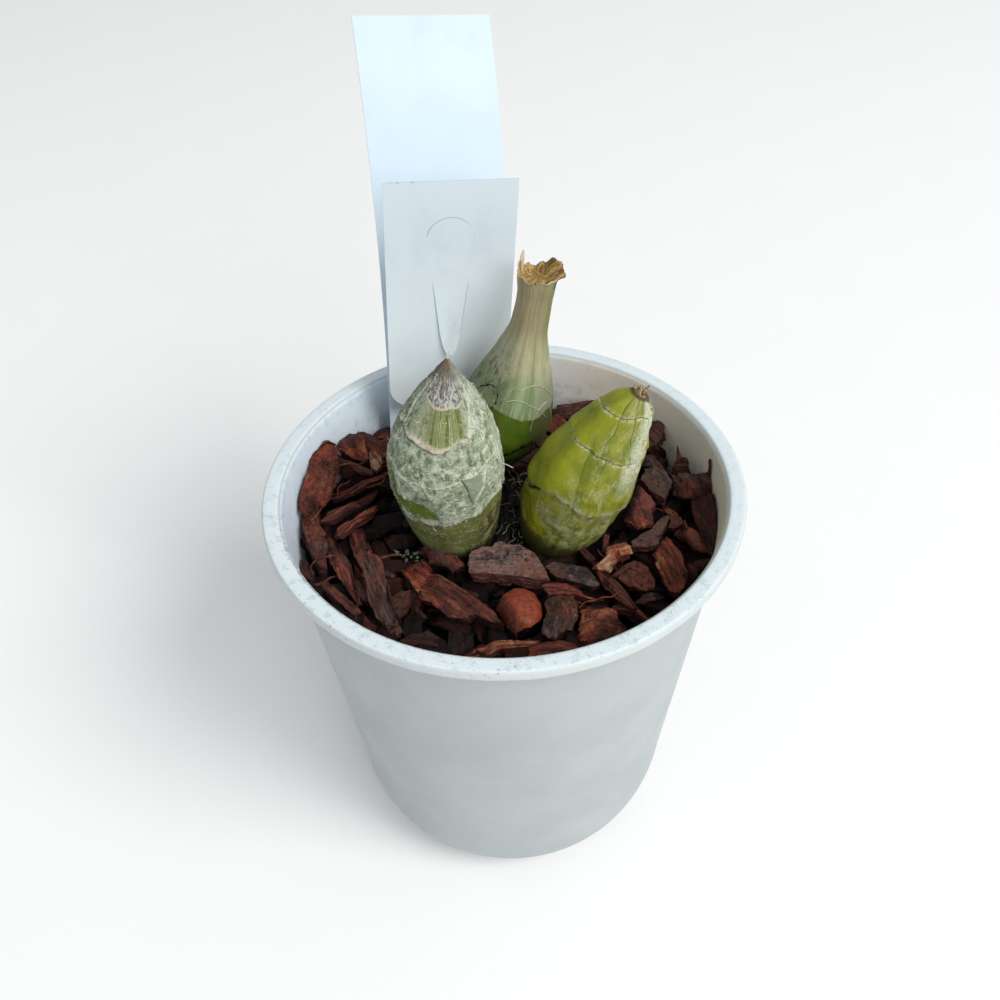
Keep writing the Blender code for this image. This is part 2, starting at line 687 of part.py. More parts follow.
def root_path(index, rng):
    # Out of the rhizome, over its crown and down again, inside the well.
    heading = index * GOLDEN_ANGLE
    reach_x = WELL_RADII[0] - ROOT_KEEP_OFF[0]
    reach_y = WELL_RADII[1] - ROOT_KEEP_OFF[1]
    crown = ROOT_CROWN_HEIGHT + rng.uniform(0.0, ROOT_CROWN_SPREAD)
    sway = rng.uniform(-0.9, 0.9)
    path = []
    for step in range(ROOT_POINTS):
        share = step / (ROOT_POINTS - 1)
        angle = heading + sway * share + 0.25 * math.sin(7.0 * share + index)
        spread = 0.15 + 0.80 * share
        x = WELL_CENTRE[0] + reach_x * spread * math.cos(angle)
        y = WELL_CENTRE[1] + reach_y * spread * math.sin(angle)
        arch = math.sin(math.pi * min(1.0, 0.25 + share))
        z = ROOT_START_HEIGHT + (crown - ROOT_START_HEIGHT) * arch - ROOT_END_DROP * share ** 3
        path.append((x, y, z))
    return path


def tube_mesh(name, path, radius):
    curve = bpy.data.curves.new(name, "CURVE")
    curve.dimensions = "3D"
    curve.bevel_depth = radius
    curve.bevel_resolution = 1
    curve.use_fill_caps = True
    spline = curve.splines.new("POLY")
    spline.points.add(len(path) - 1)
    for point, place in zip(spline.points, path):
        point.co = (place[0], place[1], place[2], 1.0)
    holder = bpy.data.objects.new(name, curve)
    bpy.context.scene.collection.objects.link(holder)
    mesh = evaluated_mesh(holder)
    bpy.data.objects.remove(holder, do_unlink=True)
    shape = bmesh.new()
    shape.from_mesh(mesh)
    bmesh.ops.remove_doubles(shape, verts=shape.verts, dist=0.00002)
    return mesh_from_bmesh(name, shape)


def make_roots(collection, material):
    rng = random.Random(ROOT_SEED)
    shape = bmesh.new()
    bmesh.ops.create_uvsphere(shape, u_segments=20, v_segments=10, radius=1.0)
    bmesh.ops.scale(shape, vec=RHIZOME_RADII, verts=shape.verts)
    bmesh.ops.translate(shape, vec=RHIZOME_CENTRE, verts=shape.verts)
    roots = add_object("rhizome_and_roots", mesh_from_bmesh("rhizome_and_roots", shape),
                       collection, material)
    strands = new_collection("strands")
    for index in range(ROOT_COUNT):
        name = "strand_%d" % index
        add_cutter(name, tube_mesh(name, root_path(index, rng), ROOT_RADIUS), strands)
    combine(roots, strands, "UNION")
    sockets = new_collection("sockets")
    add_bulb_clearances(sockets)
    combine(roots, sockets, "DIFFERENCE")
    keep_main_body(roots)
    return roots


def label_axes(yaw, lean):
    # Across the sheet, up the sheet, and out of its back.
    across = np.array((math.cos(yaw), math.sin(yaw), 0.0))
    back = np.array((-math.sin(yaw), math.cos(yaw), 0.0))
    up = np.array((0.0, 0.0, 1.0))
    leaned_across = across * math.cos(lean) - up * math.sin(lean)
    leaned_up = across * math.sin(lean) + up * math.cos(lean)
    return leaned_across, leaned_up, back


def sheet_mesh(name, rows, thickness, place):
    # A sheet from rows of left edge, right edge and height, with equal faces front and back.
    rings = []
    half = thickness / 2
    for left, right, height in rows:
        rings.append([place(left, height, -half), place(right, height, -half),
                      place(right, height, half), place(left, height, half)])
    low = rows[0]
    high = rows[-1]
    start = place((low[0] + low[1]) / 2, low[2], 0.0)
    end = place((high[0] + high[1]) / 2, high[2], 0.0)
    mesh = loft_mesh(name, rings, start, end)
    mesh.shade_flat()
    return mesh


def front_place(across, height, depth):
    # A point of the front label: across, up from the stake's point, and out of its back.
    side, up, back = label_axes(FRONT_LABEL_YAW, FRONT_LABEL_LEAN)
    return np.array(FRONT_LABEL_FOOT) + side * across + up * height + back * depth


def tall_place(across, height, depth):
    # A point of the tall label, whose sheet bends backwards along an arc.
    side, up, back = label_axes(TALL_LABEL_YAW, TALL_LABEL_LEAN)
    angle = height / TALL_LABEL_BEND_RADIUS
    radius = TALL_LABEL_BEND_RADIUS - depth
    risen = radius * math.sin(angle)
    gone_back = TALL_LABEL_BEND_RADIUS - radius * math.cos(angle)
    return np.array(TALL_LABEL_FOOT) + side * across + up * risen + back * gone_back


def front_label_mesh(grow=0.0):
    half = FRONT_LABEL_WIDTH / 2 + grow
    stake = FRONT_STAKE_WIDTH / 2 + grow
    tip = FRONT_STAKE_TIP_WIDTH / 2 + grow
    rows = [(-tip, tip, -grow)]
    rows.append((-stake, stake, FRONT_STAKE_POINT))
    rows.append((-stake, stake, FRONT_SHOULDER_HEIGHT - FRONT_STAKE_SHOULDER_DROP))
    for angle in np.linspace(0.0, math.pi / 2, 5):
        out = half - FRONT_SHOULDER_RADIUS * (1.0 - math.sin(angle))
        height = FRONT_SHOULDER_HEIGHT + FRONT_SHOULDER_RADIUS * (1.0 - math.cos(angle))
        rows.append((-out, out, height))
    rows.append((-half, half, FRONT_LABEL_LENGTH + grow))
    return sheet_mesh("label_front", rows, LABEL_THICKNESS + 2 * grow, front_place)


def tongue_half_width(below_top):
    share = (below_top - TONGUE_HEAD_BELOW_TOP) / (TONGUE_TIP_BELOW_TOP - TONGUE_HEAD_BELOW_TOP)
    straight = TONGUE_HEAD_RADIUS + (TONGUE_TIP_RADIUS - TONGUE_HEAD_RADIUS) * share
    return straight + TONGUE_BELLY * 4 * share * (1 - share)


def tongue_rows(grow):
    rows = []
    stop = TONGUE_TIP_BELOW_TOP - TONGUE_TIP_RADIUS
    for below in np.linspace(stop, TONGUE_HINGE_BELOW_TOP, 8):
        width = tongue_half_width(below) + grow
        rows.append((-width, width, FRONT_LABEL_LENGTH - below))
    first = rows[0]
    tip = []
    for angle in np.radians((72, 40)):
        width = first[1] * math.cos(angle)
        tip.append((-width, width, first[2] - (TONGUE_TIP_RADIUS + grow) * math.sin(angle)))
    return tip + rows


def tongue_place(across, height, depth):
    # The tongue curls forwards, more towards its tip.
    hinge = FRONT_LABEL_LENGTH - TONGUE_HINGE_BELOW_TOP
    run = max(0.0, hinge - height) / (TONGUE_TIP_BELOW_TOP - TONGUE_HINGE_BELOW_TOP)
    return front_place(across, height, depth - TONGUE_LIFT * run ** TONGUE_CURL)


def arc_slit_mesh():
    # A thin curved cut over the tongue's head.
    rings = []
    centre = FRONT_LABEL_LENGTH - TONGUE_HEAD_BELOW_TOP
    for angle in np.radians(np.linspace(14, 166, 15)):
        ring = []
        for radius, depth in ((-0.5, -1), (0.5, -1), (0.5, 1), (-0.5, 1)):
            reach = TONGUE_HEAD_RADIUS + ARC_SLIT * radius
            ring.append(front_place(reach * math.cos(angle), centre + reach * math.sin(angle),
                                    depth * CUTTER_REACH))
        rings.append(ring)
    return loft_mesh("arc_slit", rings, sum(rings[0]) / 4, sum(rings[-1]) / 4)


def make_front_label(collection, material):
    label = add_object("label_front", front_label_mesh(), collection, material)
    slits = new_collection("slits")
    opening = sheet_mesh("tongue_opening", tongue_rows(TONGUE_SLIT), 2 * CUTTER_REACH, front_place)
    add_cutter("tongue_opening", opening, slits)
    add_cutter("arc_slit", arc_slit_mesh(), slits)
    combine(label, slits, "DIFFERENCE")
    tongues = new_collection("tongues")
    rows = tongue_rows(0.0)
    hinge_left, hinge_right, hinge_height = rows[-1]
    rows.append((hinge_left, hinge_right, hinge_height + TONGUE_OVERLAP))
    tongue = sheet_mesh("tongue", rows, LABEL_THICKNESS * 0.96, tongue_place)
    add_cutter("tongue", tongue, tongues)
    combine(label, tongues, "UNION")
    keep_main_body(label)
    return label


def tall_label_mesh(grow=0.0):
    half = TALL_LABEL_WIDTH / 2 + grow
    tip = TALL_LABEL_TIP_WIDTH / 2 + grow
    rows = [(-tip, tip, -grow)]
    for height in np.linspace(TALL_LABEL_POINT, TALL_LABEL_LENGTH + grow, TALL_LABEL_STEPS):
        rows.append((-half, half, height))
    return sheet_mesh("label_tall", rows, LABEL_THICKNESS + 2 * grow, tall_place)


def main():
    clear_scene()
    parts = new_collection("potted_catasetum_orchid")
    cutters = new_collection("drains")
    materials = {name: make_material(name) for name in COLOURS}
    make_pot(parts, cutters, materials["white_plastic"])
    bark = make_bark(parts, materials["bark"])
    trim_bark(bark)
    make_roots(parts, materials["roots"])
    make_bulb("pseudobulb_front", FRONT_BULB, parts, materials["bulb_grey_green"])
    make_bulb("pseudobulb_back", BACK_BULB, parts, materials["bulb_papery"])
    make_bulb("pseudobulb_right", RIGHT_BULB, parts, materials["bulb_yellow_green"])
    make_front_label(parts, materials["label_grey"])
    add_object("label_tall", tall_label_mesh(), parts, materials["label_blue_white"])


main()
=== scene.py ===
# The looks of the potted catasetum orchid: a white plastic pot of pine bark, three leafless
# pseudobulbs on one rhizome with its roots, and two blank plastic labels.
# Lengths in this file are millimetres and angles degrees, and a mesh is written in metres.

import math

import bpy
import numpy as np
from mathutils import Matrix, Vector


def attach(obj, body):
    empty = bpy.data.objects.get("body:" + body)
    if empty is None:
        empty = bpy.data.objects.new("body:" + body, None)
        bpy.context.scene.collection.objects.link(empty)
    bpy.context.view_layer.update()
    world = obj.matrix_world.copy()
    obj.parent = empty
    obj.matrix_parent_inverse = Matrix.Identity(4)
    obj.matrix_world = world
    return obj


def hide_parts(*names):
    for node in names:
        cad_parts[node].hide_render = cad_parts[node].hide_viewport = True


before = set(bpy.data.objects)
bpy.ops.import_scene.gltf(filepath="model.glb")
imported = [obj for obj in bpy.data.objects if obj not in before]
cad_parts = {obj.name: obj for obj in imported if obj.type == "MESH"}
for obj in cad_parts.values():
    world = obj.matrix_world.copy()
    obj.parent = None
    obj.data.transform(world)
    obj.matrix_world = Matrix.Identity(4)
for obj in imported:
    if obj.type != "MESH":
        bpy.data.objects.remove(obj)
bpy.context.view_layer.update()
metre = 1000.0
goldenAngle = 137.508
print("frame loaded:", ", ".join(sorted(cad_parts)))


# Numbers that vary from place to place

def latticeNumber(cells, seed):
    # A fixed number from -1 to 1 for each whole-number cell: its x, y and z hashed together.
    mixed = cells[..., 0] * 73856093 ^ cells[..., 1] * 19349663 ^ cells[..., 2] * 83492791
    mixed = (mixed + seed * 2654435761) & 0xFFFFFFFF
    mixed = ((mixed ^ (mixed >> 15)) * 2246822519) & 0xFFFFFFFF
    mixed = ((mixed ^ (mixed >> 13)) * 3266489917) & 0xFFFFFFFF
    return ((mixed ^ (mixed >> 16)) & 0xFFFF) / 32767.5 - 1


def softNoise(points, grain, seed):
    # Value noise: the numbers at a cell's 8 corners, blended by 3t^2 - 2t^3 along each axis.
    scaled = np.asarray(points, float) / np.asarray(grain, float)
    cells = np.floor(scaled).astype(np.int64)
    part = scaled - cells
    share = part * part * (3 - 2 * part)
    total = np.zeros(scaled.shape[:-1])
    for corner in np.ndindex(2, 2, 2):
        weight = np.ones(total.shape)
        for axis in range(3):
            weight = weight * (share[..., axis] if corner[axis] else 1 - share[..., axis])
        total = total + weight * latticeNumber(cells + np.array(corner), seed)
    return total


def roughNoise(points, grain, seed, octaves=3):
    # A sum of soft noises, each half as high and half as wide as the one before it.
    total = 0
    for octave in range(octaves):
        total = total + softNoise(points, np.asarray(grain) / 2 ** octave, seed + octave) / 2 ** octave
    return total


def smoothStep(value, low, high):
    # 0 below low, 1 above high, and 3t^2 - 2t^3 between them.
    part = np.clip((value - low) / (high - low), 0, 1)
    return part * part * (3 - 2 * part)


def monotoneCurve(knots, at):
    # A cubic between knots (x, y), where a knot's slope is the harmonic mean of the slopes beside it.
    xs, ys = np.array(knots, float).T
    slopes = np.diff(ys) / np.diff(xs)
    before, after = slopes[:-1], slopes[1:]
    together = before * after > 0
    inner = np.where(together, 2 * before * after / np.where(together, before + after, 1), 0)
    tangents = np.concatenate([slopes[:1], inner, slopes[-1:]])
    at = np.clip(at, xs[0], xs[-1])
    span = np.clip(np.searchsorted(xs, at, side="right") - 1, 0, len(slopes) - 1)
    width = xs[span + 1] - xs[span]
    part = (at - xs[span]) / width
    rest = 1 - part
    return (ys[span] * (1 + 2 * part) * rest ** 2 + ys[span + 1] * part ** 2 * (3 - 2 * part)
            + tangents[span] * width * part * rest ** 2
            - tangents[span + 1] * width * part ** 2 * rest)


def roundCurve(knots, degrees, soften=6):
    # A value given at a few angles and joined right round, averaged over a few degrees either side.
    angles, values = np.array(knots, float).T
    total = 0
    for offset in np.linspace(-soften, soften, 5):
        total = total + np.interp(degrees + offset, angles, values, period=360)
    return total / 5


def unit(vectors):
    # Each vector divided by its own length.
    return vectors / np.linalg.norm(vectors, axis=-1, keepdims=True)


def roundAngles(count):
    return np.linspace(0, math.tau, count, endpoint=False)


def around(radius, angle, height=0):
    # Places at a radius and an angle round the Z axis, and at a height.
    return np.stack(np.broadcast_arrays(radius * np.cos(angle), radius * np.sin(angle), height), -1)


def sunflower(count, turn=0):
    # Places spread evenly over a disc: each a golden angle on, as far out as the root of its share.
    for index in range(count):
        yield index, math.radians(index * goldenAngle + turn), math.sqrt((index + 0.5) / count)


def smoothPath(points, steps):
    # A Catmull-Rom curve: through each point, with the slope of the chord between its neighbours.
    knots = np.array(points, float)
    padded = np.concatenate([2 * knots[:1] - knots[1:2], knots, 2 * knots[-1:] - knots[-2:-1]])
    at = np.linspace(0, len(knots) - 1, steps)
    span = np.minimum(at.astype(int), len(knots) - 2)
    part = (at - span)[:, None]
    p0, p1, p2, p3 = (padded[span + shift] for shift in range(4))
    return 0.5 * (2 * p1 + (p2 - p0) * part + (2 * p0 - 5 * p1 + 4 * p2 - p3) * part ** 2
                  + (3 * p1 - p0 - 3 * p2 + p3) * part ** 3)


# Grids of points made into meshes

def gridPatch(points, wrapped=True, closed=True, **fields):
    # Quads between neighbouring rows and columns. A wrapped grid joins its last column to its first,
    # and a closed one ends in a fan to the mean of its first row and of its last. A field is a number
    # for each point, or one that is spread over them.
    rows, columns = points.shape[:2]
    index = np.arange(rows * columns).reshape(rows, columns)
    after = np.roll(index, -1, axis=1) if wrapped else index[:, 1:]
    here = index if wrapped else index[:, :-1]
    quads = np.stack([here[:-1], after[:-1], after[1:], here[1:]], -1).reshape(-1, 4)
    places = points.reshape(-1, 3)
    values = {}
    for name, value in fields.items():
        spread = np.broadcast_to(value, points.shape[:2] + np.shape(value)[2:])
        values[name] = spread.reshape(rows * columns, -1).astype(float)
    triangles = np.zeros((0, 3), int)
    if closed:
        first = len(places)
        places = np.concatenate([places, points[:1].mean(1), points[-1:].mean(1)])
        values = {name: np.concatenate([value, value[:columns].mean(0, keepdims=True),
                                        value[-columns:].mean(0, keepdims=True)])
                  for name, value in values.items()}
        low = np.stack([np.full(columns, first), after[0], here[0]], -1)
        high = np.stack([np.full(columns, first + 1), here[-1], after[-1]], -1)
        triangles = np.concatenate([low, high])
    return {"places": places, "quads": quads, "triangles": triangles, "fields": values}


def tubePatch(path, radii, sides=5, **fields):
    # A circle carried along a path, each ring square to the path, with a fixed side as its start.
    path = np.asarray(path, float)
    ahead = unit(np.gradient(path, axis=0))
    guide = np.eye(3)[np.argmin(np.abs(ahead).mean(0))]
    side = unit(np.cross(ahead, guide))
    other = np.cross(ahead, side)
    turn = roundAngles(sides)
    ring = side[:, None] * np.cos(turn)[None, :, None] + other[:, None] * np.sin(turn)[None, :, None]
    grid = path[:, None] + ring * np.broadcast_to(radii, len(path))[:, None, None]
    return gridPatch(grid, **fields)


def stackPatches(name, patches):
    # One mesh of all the patches, the faces of each counted on from the points before it.
    starts = np.cumsum([0] + [len(patch["places"]) for patch in patches])
    faces = []
    for patch, start in zip(patches, starts):
        faces += (patch["quads"] + start).tolist() + (patch["triangles"] + start).tolist()
    mesh = bpy.data.meshes.new(name)
    mesh.from_pydata((np.concatenate([patch["places"] for patch in patches]) / metre).tolist(), [], faces)
    return mesh


def linked(name, data):
    # A new object with this data, in the scene.
    made = bpy.data.objects.new(name, data)
    bpy.context.scene.collection.objects.link(made)
    return made


def addPiece(name, patches, material, replaces=()):
    # A smooth piece of stacked patches, with their fields, which rides on the root body.
    mesh = stackPatches(name, patches)
    for field in patches[0]["fields"]:
        values = np.concatenate([patch["fields"][field] for patch in patches])
        kind = "FLOAT_VECTOR" if values.shape[1] == 3 else "FLOAT"
        layer = mesh.attributes.new(field, kind, "POINT")
        layer.data.foreach_set("vector" if values.shape[1] == 3 else "value",
                               values.astype(np.float32).ravel())
    mesh.shade_smooth()
    mesh.materials.append(material)
    piece = linked(name, mesh)
    finishPiece(piece, replaces)
    return piece


def finishPiece(piece, replaces):
    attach(piece, "root")
    if replaces:
        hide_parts(*replaces)
    faces = len(piece.data.loop_triangles) or sum(len(p.vertices) - 2 for p in piece.data.polygons)
    print("piece", piece.name, faces, "triangles")


def applyModifiers(piece):
    # The mesh that the piece's modifiers leave, with the modifiers gone.
    bpy.context.view_layer.update()
    evaluated = piece.evaluated_get(bpy.context.evaluated_depsgraph_get())
    result = bpy.data.meshes.new_from_object(evaluated)
    piece.modifiers.clear()
    piece.data = result


# Shader maths

def operator(operation, reflected=False):
    # The method behind a Python operator: one Math node of a Signal and a number or Signal.
    def method(self, other):
        return self.maths(operation, *((other, self) if reflected else (self, other)))
    return method


class Signal:
    # One output of a material's nodes. Operators on it add Math nodes.
    def __init__(self, tree, socket=None):
        self.tree = tree
        self.socket = socket

    def node(self, kind, settings=None, inputs=None, output=0):
        made = self.tree.nodes.new(kind)
        for setting, value in (settings or {}).items():
            if setting == "stops":
                ramp = made.color_ramp.elements
                for place, colour in value[1:-1]:
                    ramp.new(place)
                for stop, (place, colour) in zip(ramp, value):
                    stop.position = place
                    stop.color = colour + (1,)
            else:
                setattr(made, setting, value)
        for name, value in (inputs or {}).items():
            plug(made.inputs[name], value)
        return Signal(self.tree, made.outputs[output])

    def maths(self, operation, first, second):
        return self.node("ShaderNodeMath", {"operation": operation}, {0: first, 1: second})

    __add__, __radd__ = operator("ADD"), operator("ADD", True)
    __sub__, __rsub__ = operator("SUBTRACT"), operator("SUBTRACT", True)
    __mul__, __rmul__ = operator("MULTIPLY"), operator("MULTIPLY", True)
    __pow__ = operator("POWER")


def plug(socket, value):
    # Joins a Signal to an input, or sets the input to a number or a colour.
    if isinstance(value, Signal):
        value.tree.links.new(value.socket, socket)
    else:
        socket.default_value = value


def newMaterial(name):
    # An empty tree with a Principled shader and its output. Returns the material and a first Signal.
    material = bpy.data.materials.new(name)
    material.use_nodes = True
    return material, Signal(material.node_tree)


def objectPlace(start):
    # The place on the piece, in millimetres.
    place = start.node("ShaderNodeTexCoord", output="Object")
    return start.node("ShaderNodeVectorMath", {"operation": "SCALE"}, {0: place, "Scale": metre})


def readFields(start, names):
    # The piece's own numbers, and its places where the name is grain.
    return [start.node("ShaderNodeAttribute", {"attribute_name": name},
                       output="Vector" if name == "grain" else "Fac") for name in names.split()]


def stretch(place, scale):
    # The place times a scale of its own across, back and up.
    return place.node("ShaderNodeMapping", {"vector_type": "POINT"}, {"Vector": place, "Scale": scale})


def noise(place, scale, detail=3, roughness=0.55, distortion=0):
    # Finer for a larger scale. Three scales, across, back and up, make a drawn-out noise.
    if isinstance(scale, tuple):
        place, scale = stretch(place, scale), 1
    return place.node("ShaderNodeTexNoise", None, {
        "Vector": place, "Scale": scale, "Detail": detail, "Roughness": roughness,
        "Distortion": distortion})


def between(value, low, high, bottom=0, top=1):
    # From bottom at low to top at high, by 3t^2 - 2t^3.
    return value.node("ShaderNodeMapRange", {"interpolation_type": "SMOOTHSTEP"}, {
        "Value": value, "From Min": low, "From Max": high, "To Min": bottom, "To Max": top})


def paint(below, above, share):
    # One colour over another, by a share from 0 to 1.
    below = below if isinstance(below, Signal) else below + (1,)
    above = above if isinstance(above, Signal) else above + (1,)
    return share.node("ShaderNodeMix", {"data_type": "RGBA", "blend_type": "MIX"}, {
        0: share, 6: below, 7: above}, output=2)


def darker(colour, share):
    return tuple(share * part for part in colour)


class Coat(Signal):
    # A colour, over which each call paints another.
    def __init__(self, colour):
        super().__init__(colour.tree, colour.socket)

    def __call__(self, above, share):
        self.socket = paint(self, above, share).socket


def apart(value, middle):
    # How far a value is from the middle one, either way.
    return (value - middle).maths("ABSOLUTE", value - middle, 0)


def scratches(place, scale, width, distortion=1.5):
    # Thin wandering lines: where a noise passes through its middle value.
    return between(apart(noise(place, scale, 3, 0.6, distortion), 0.5), width, width * 0.3)


def finishMaterial(material, start, colour, roughness, relief, depth, specular=0.5):
    # Colour and roughness go to the shader, and relief, as deep as depth in millimetres, to its bump.
    shader = material.node_tree.nodes["Principled BSDF"]
    bump = start.node("ShaderNodeBump", None, {
        "Height": relief, "Distance": depth / metre, "Strength": 1})
    for name, value in (("Base Color", colour), ("Roughness", roughness), ("Normal", bump),
                        ("Specular IOR Level", specular)):
        plug(shader.inputs[name], value)
    return material


# Camera, light and stage

view = {
    "target": (-0.954, 0.0, 114.07),
    "distance": 241.16,
    "elevation": 43.3124,
    "roll": -2.2242,
    "lens": 33.862,
    "sensor": 36.0,
}
studio = {
    "sky": (0.93, 0.97, 1.0),
    "skyStrength": 0.56,
    # Each lamp: from where, how wide, how strong and its colour.
    "lamps": {
        "key": ((2300.0, -1500.0, 2950.0), 1900.0, 104.0, (1.0, 0.985, 0.96)),
        "fill": ((1000.0, -2200.0, 1450.0), 1500.0, 26.0, (1.0, 1.0, 1.0)),
    },
    "floor": (0.88, 0.88, 0.875),
    "floorSize": 9000.0,
    "aim": (0.0, 0.0, 110.0),
}


def addCamera():
    # Looks along +Y and down by the elevation, turned about its own line of sight by the roll.
    camera = bpy.data.cameras.new("camera")
    camera.sensor_width = view["sensor"]
    camera.lens = view["lens"]
    camera.clip_start = 0.01
    holder = linked("camera", camera)
    tilt = Matrix.Rotation(math.radians(90 - view["elevation"]), 4, "X")
    roll = Matrix.Rotation(math.radians(view["roll"]), 4, "Z")
    turned = tilt @ roll
    away = turned.to_3x3() @ Vector((0, 0, view["distance"]))
    holder.matrix_world = Matrix.Translation((Vector(view["target"]) + away) / metre) @ turned
    bpy.context.scene.camera = holder


def addLight():
    world = bpy.data.worlds.new("sky")
    world.use_nodes = True
    sky = world.node_tree.nodes["Background"]
    sky.inputs["Color"].default_value = studio["sky"] + (1,)
    sky.inputs["Strength"].default_value = studio["skyStrength"]
    bpy.context.scene.world = world
    bpy.context.scene.view_settings.view_transform = "Standard"
    for name, (origin, size, power, colour) in studio["lamps"].items():
        lamp = bpy.data.lights.new(name, "AREA")
        lamp.shape = "DISK"
        lamp.size = size / metre
        lamp.energy = power
        lamp.color = colour
        holder = linked(name, lamp)
        place = Vector(origin) / metre
        aim = Vector(studio["aim"]) / metre - place
        turn = aim.to_track_quat("-Z", "Y").to_matrix().to_4x4()
        holder.matrix_world = Matrix.Translation(place) @ turn


def addFloor():
    half = studio["floorSize"] / 2
    x, y = np.meshgrid(np.linspace(-half, half, 9), np.linspace(-half, half, 9))
    patch = gridPatch(np.stack([x, y, np.full(x.shape, -0.05)], -1), wrapped=False, closed=False)
    material, start = newMaterial("floor")
    mottle = noise(objectPlace(start), 0.02, 2)
    colour = paint(studio["floor"], darker(studio["floor"], 0.98), mottle)
    finishMaterial(material, start, colour, 0.9, mottle, 0.01)
    floor = linked("floor", stackPatches("floor", [patch]))
    floor.data.materials.append(material)


# Pot

pot = {
    "height": 121.9,
    "mouthRadius": 56.0,
    "skirt": 3.0,
    "bodyTopRadius": 56.0,
    "cornerRadius": 47.7,
    "cornerHeight": 25.6,
    "footRadius": 34.6,
    "footLip": 2.0,
    "footGroove": 0.5,
    "wall": 1.2,
    "floor": 1.8,
    # The rim's section: how far out from the mouth's radius, and how far below the top.
    "rim": [(-1.0, 2.6), (-0.7, 1.1), (0.0, 0.2), (0.6, 0.0), (1.7, 0.0), (2.8, 0.03), (3.55, 0.15),
        (3.92, 0.55), (4.0, 1.3), (3.95, 2.6), (3.5, 3.05), (2.6, 3.1), (1.3, 3.0), (0.5, 3.1), (0.0, 3.9)],
    "columns": 264,
    "drainHoles": 8,
    "drainRadius": 3.5,
    "drainCircle": 24.0,
    # One plastic in lit and shaded copies: the body greyer as painted shade, the lip and rim top lighter as
    # painted light from above, and the inside lighter as painted light through the wall, warmer towards +X
    # with that light's tint and a soil film.
    "bodyShadedWhite": (0.385, 0.42, 0.43),
    "lipLitWhite": (0.52, 0.56, 0.56),
    "insideLitWhite": (0.71, 0.8, 0.89),
    "insideLitWarm": (0.82, 0.75, 0.64),
    "rimTopLitWhite": (0.64, 0.715, 0.74),
    "rimShade": (0.46, 0.53, 0.55),
    "speck": (0.13, 0.125, 0.11),
    "dirt": (0.26, 0.15, 0.09),
    "grime": (0.25, 0.21, 0.16),
    "scuff": (0.5, 0.5, 0.43),
    "footDirt": (0.4, 0.36, 0.3),
    "soilAndShade": (0.42, 0.36, 0.28),
}


def potOuterRadius(height):
    # A straight taper above the rounded corner, and a quarter ellipse below it.
    rise = np.clip(1 - height / pot["cornerHeight"], 0, 1)
    corner = pot["footRadius"] + (pot["cornerRadius"] - pot["footRadius"]) * np.sqrt(1 - rise * rise)
    straight = pot["height"] - pot["skirt"] - pot["cornerHeight"]
    share = (height - pot["cornerHeight"]) / straight
    taper = pot["cornerRadius"] + (pot["bodyTopRadius"] - pot["cornerRadius"]) * share
    return np.where(height < pot["cornerHeight"], corner, taper)


def potInnerProfile(gap, top):
    # Down the inside from the height given, round the corner, to the middle of the floor.
    heights = np.linspace(top, pot["cornerHeight"], 16)
    straight = np.stack([potOuterRadius(heights) - pot["wall"] - gap, heights], -1)
    angle = np.linspace(0, math.pi / 2, 14)[1:]
    reach = pot["cornerRadius"] - pot["wall"] - gap - pot["footRadius"]
    drop = pot["cornerHeight"] - pot["floor"] - gap
    corner = np.stack([pot["footRadius"] + reach * np.cos(angle),
                       pot["cornerHeight"] - drop * np.sin(angle)], -1)
    ground = np.stack([np.linspace(pot["footRadius"], 0.5, 12)[1:],
                       np.full(11, pot["floor"] + gap)], -1)
    return np.concatenate([straight, corner, ground])


def turned(profile, columns):
    # A profile of (radius, height) carried once round the Z axis.
    return around(profile[:, :1], roundAngles(columns), profile[:, 1:])


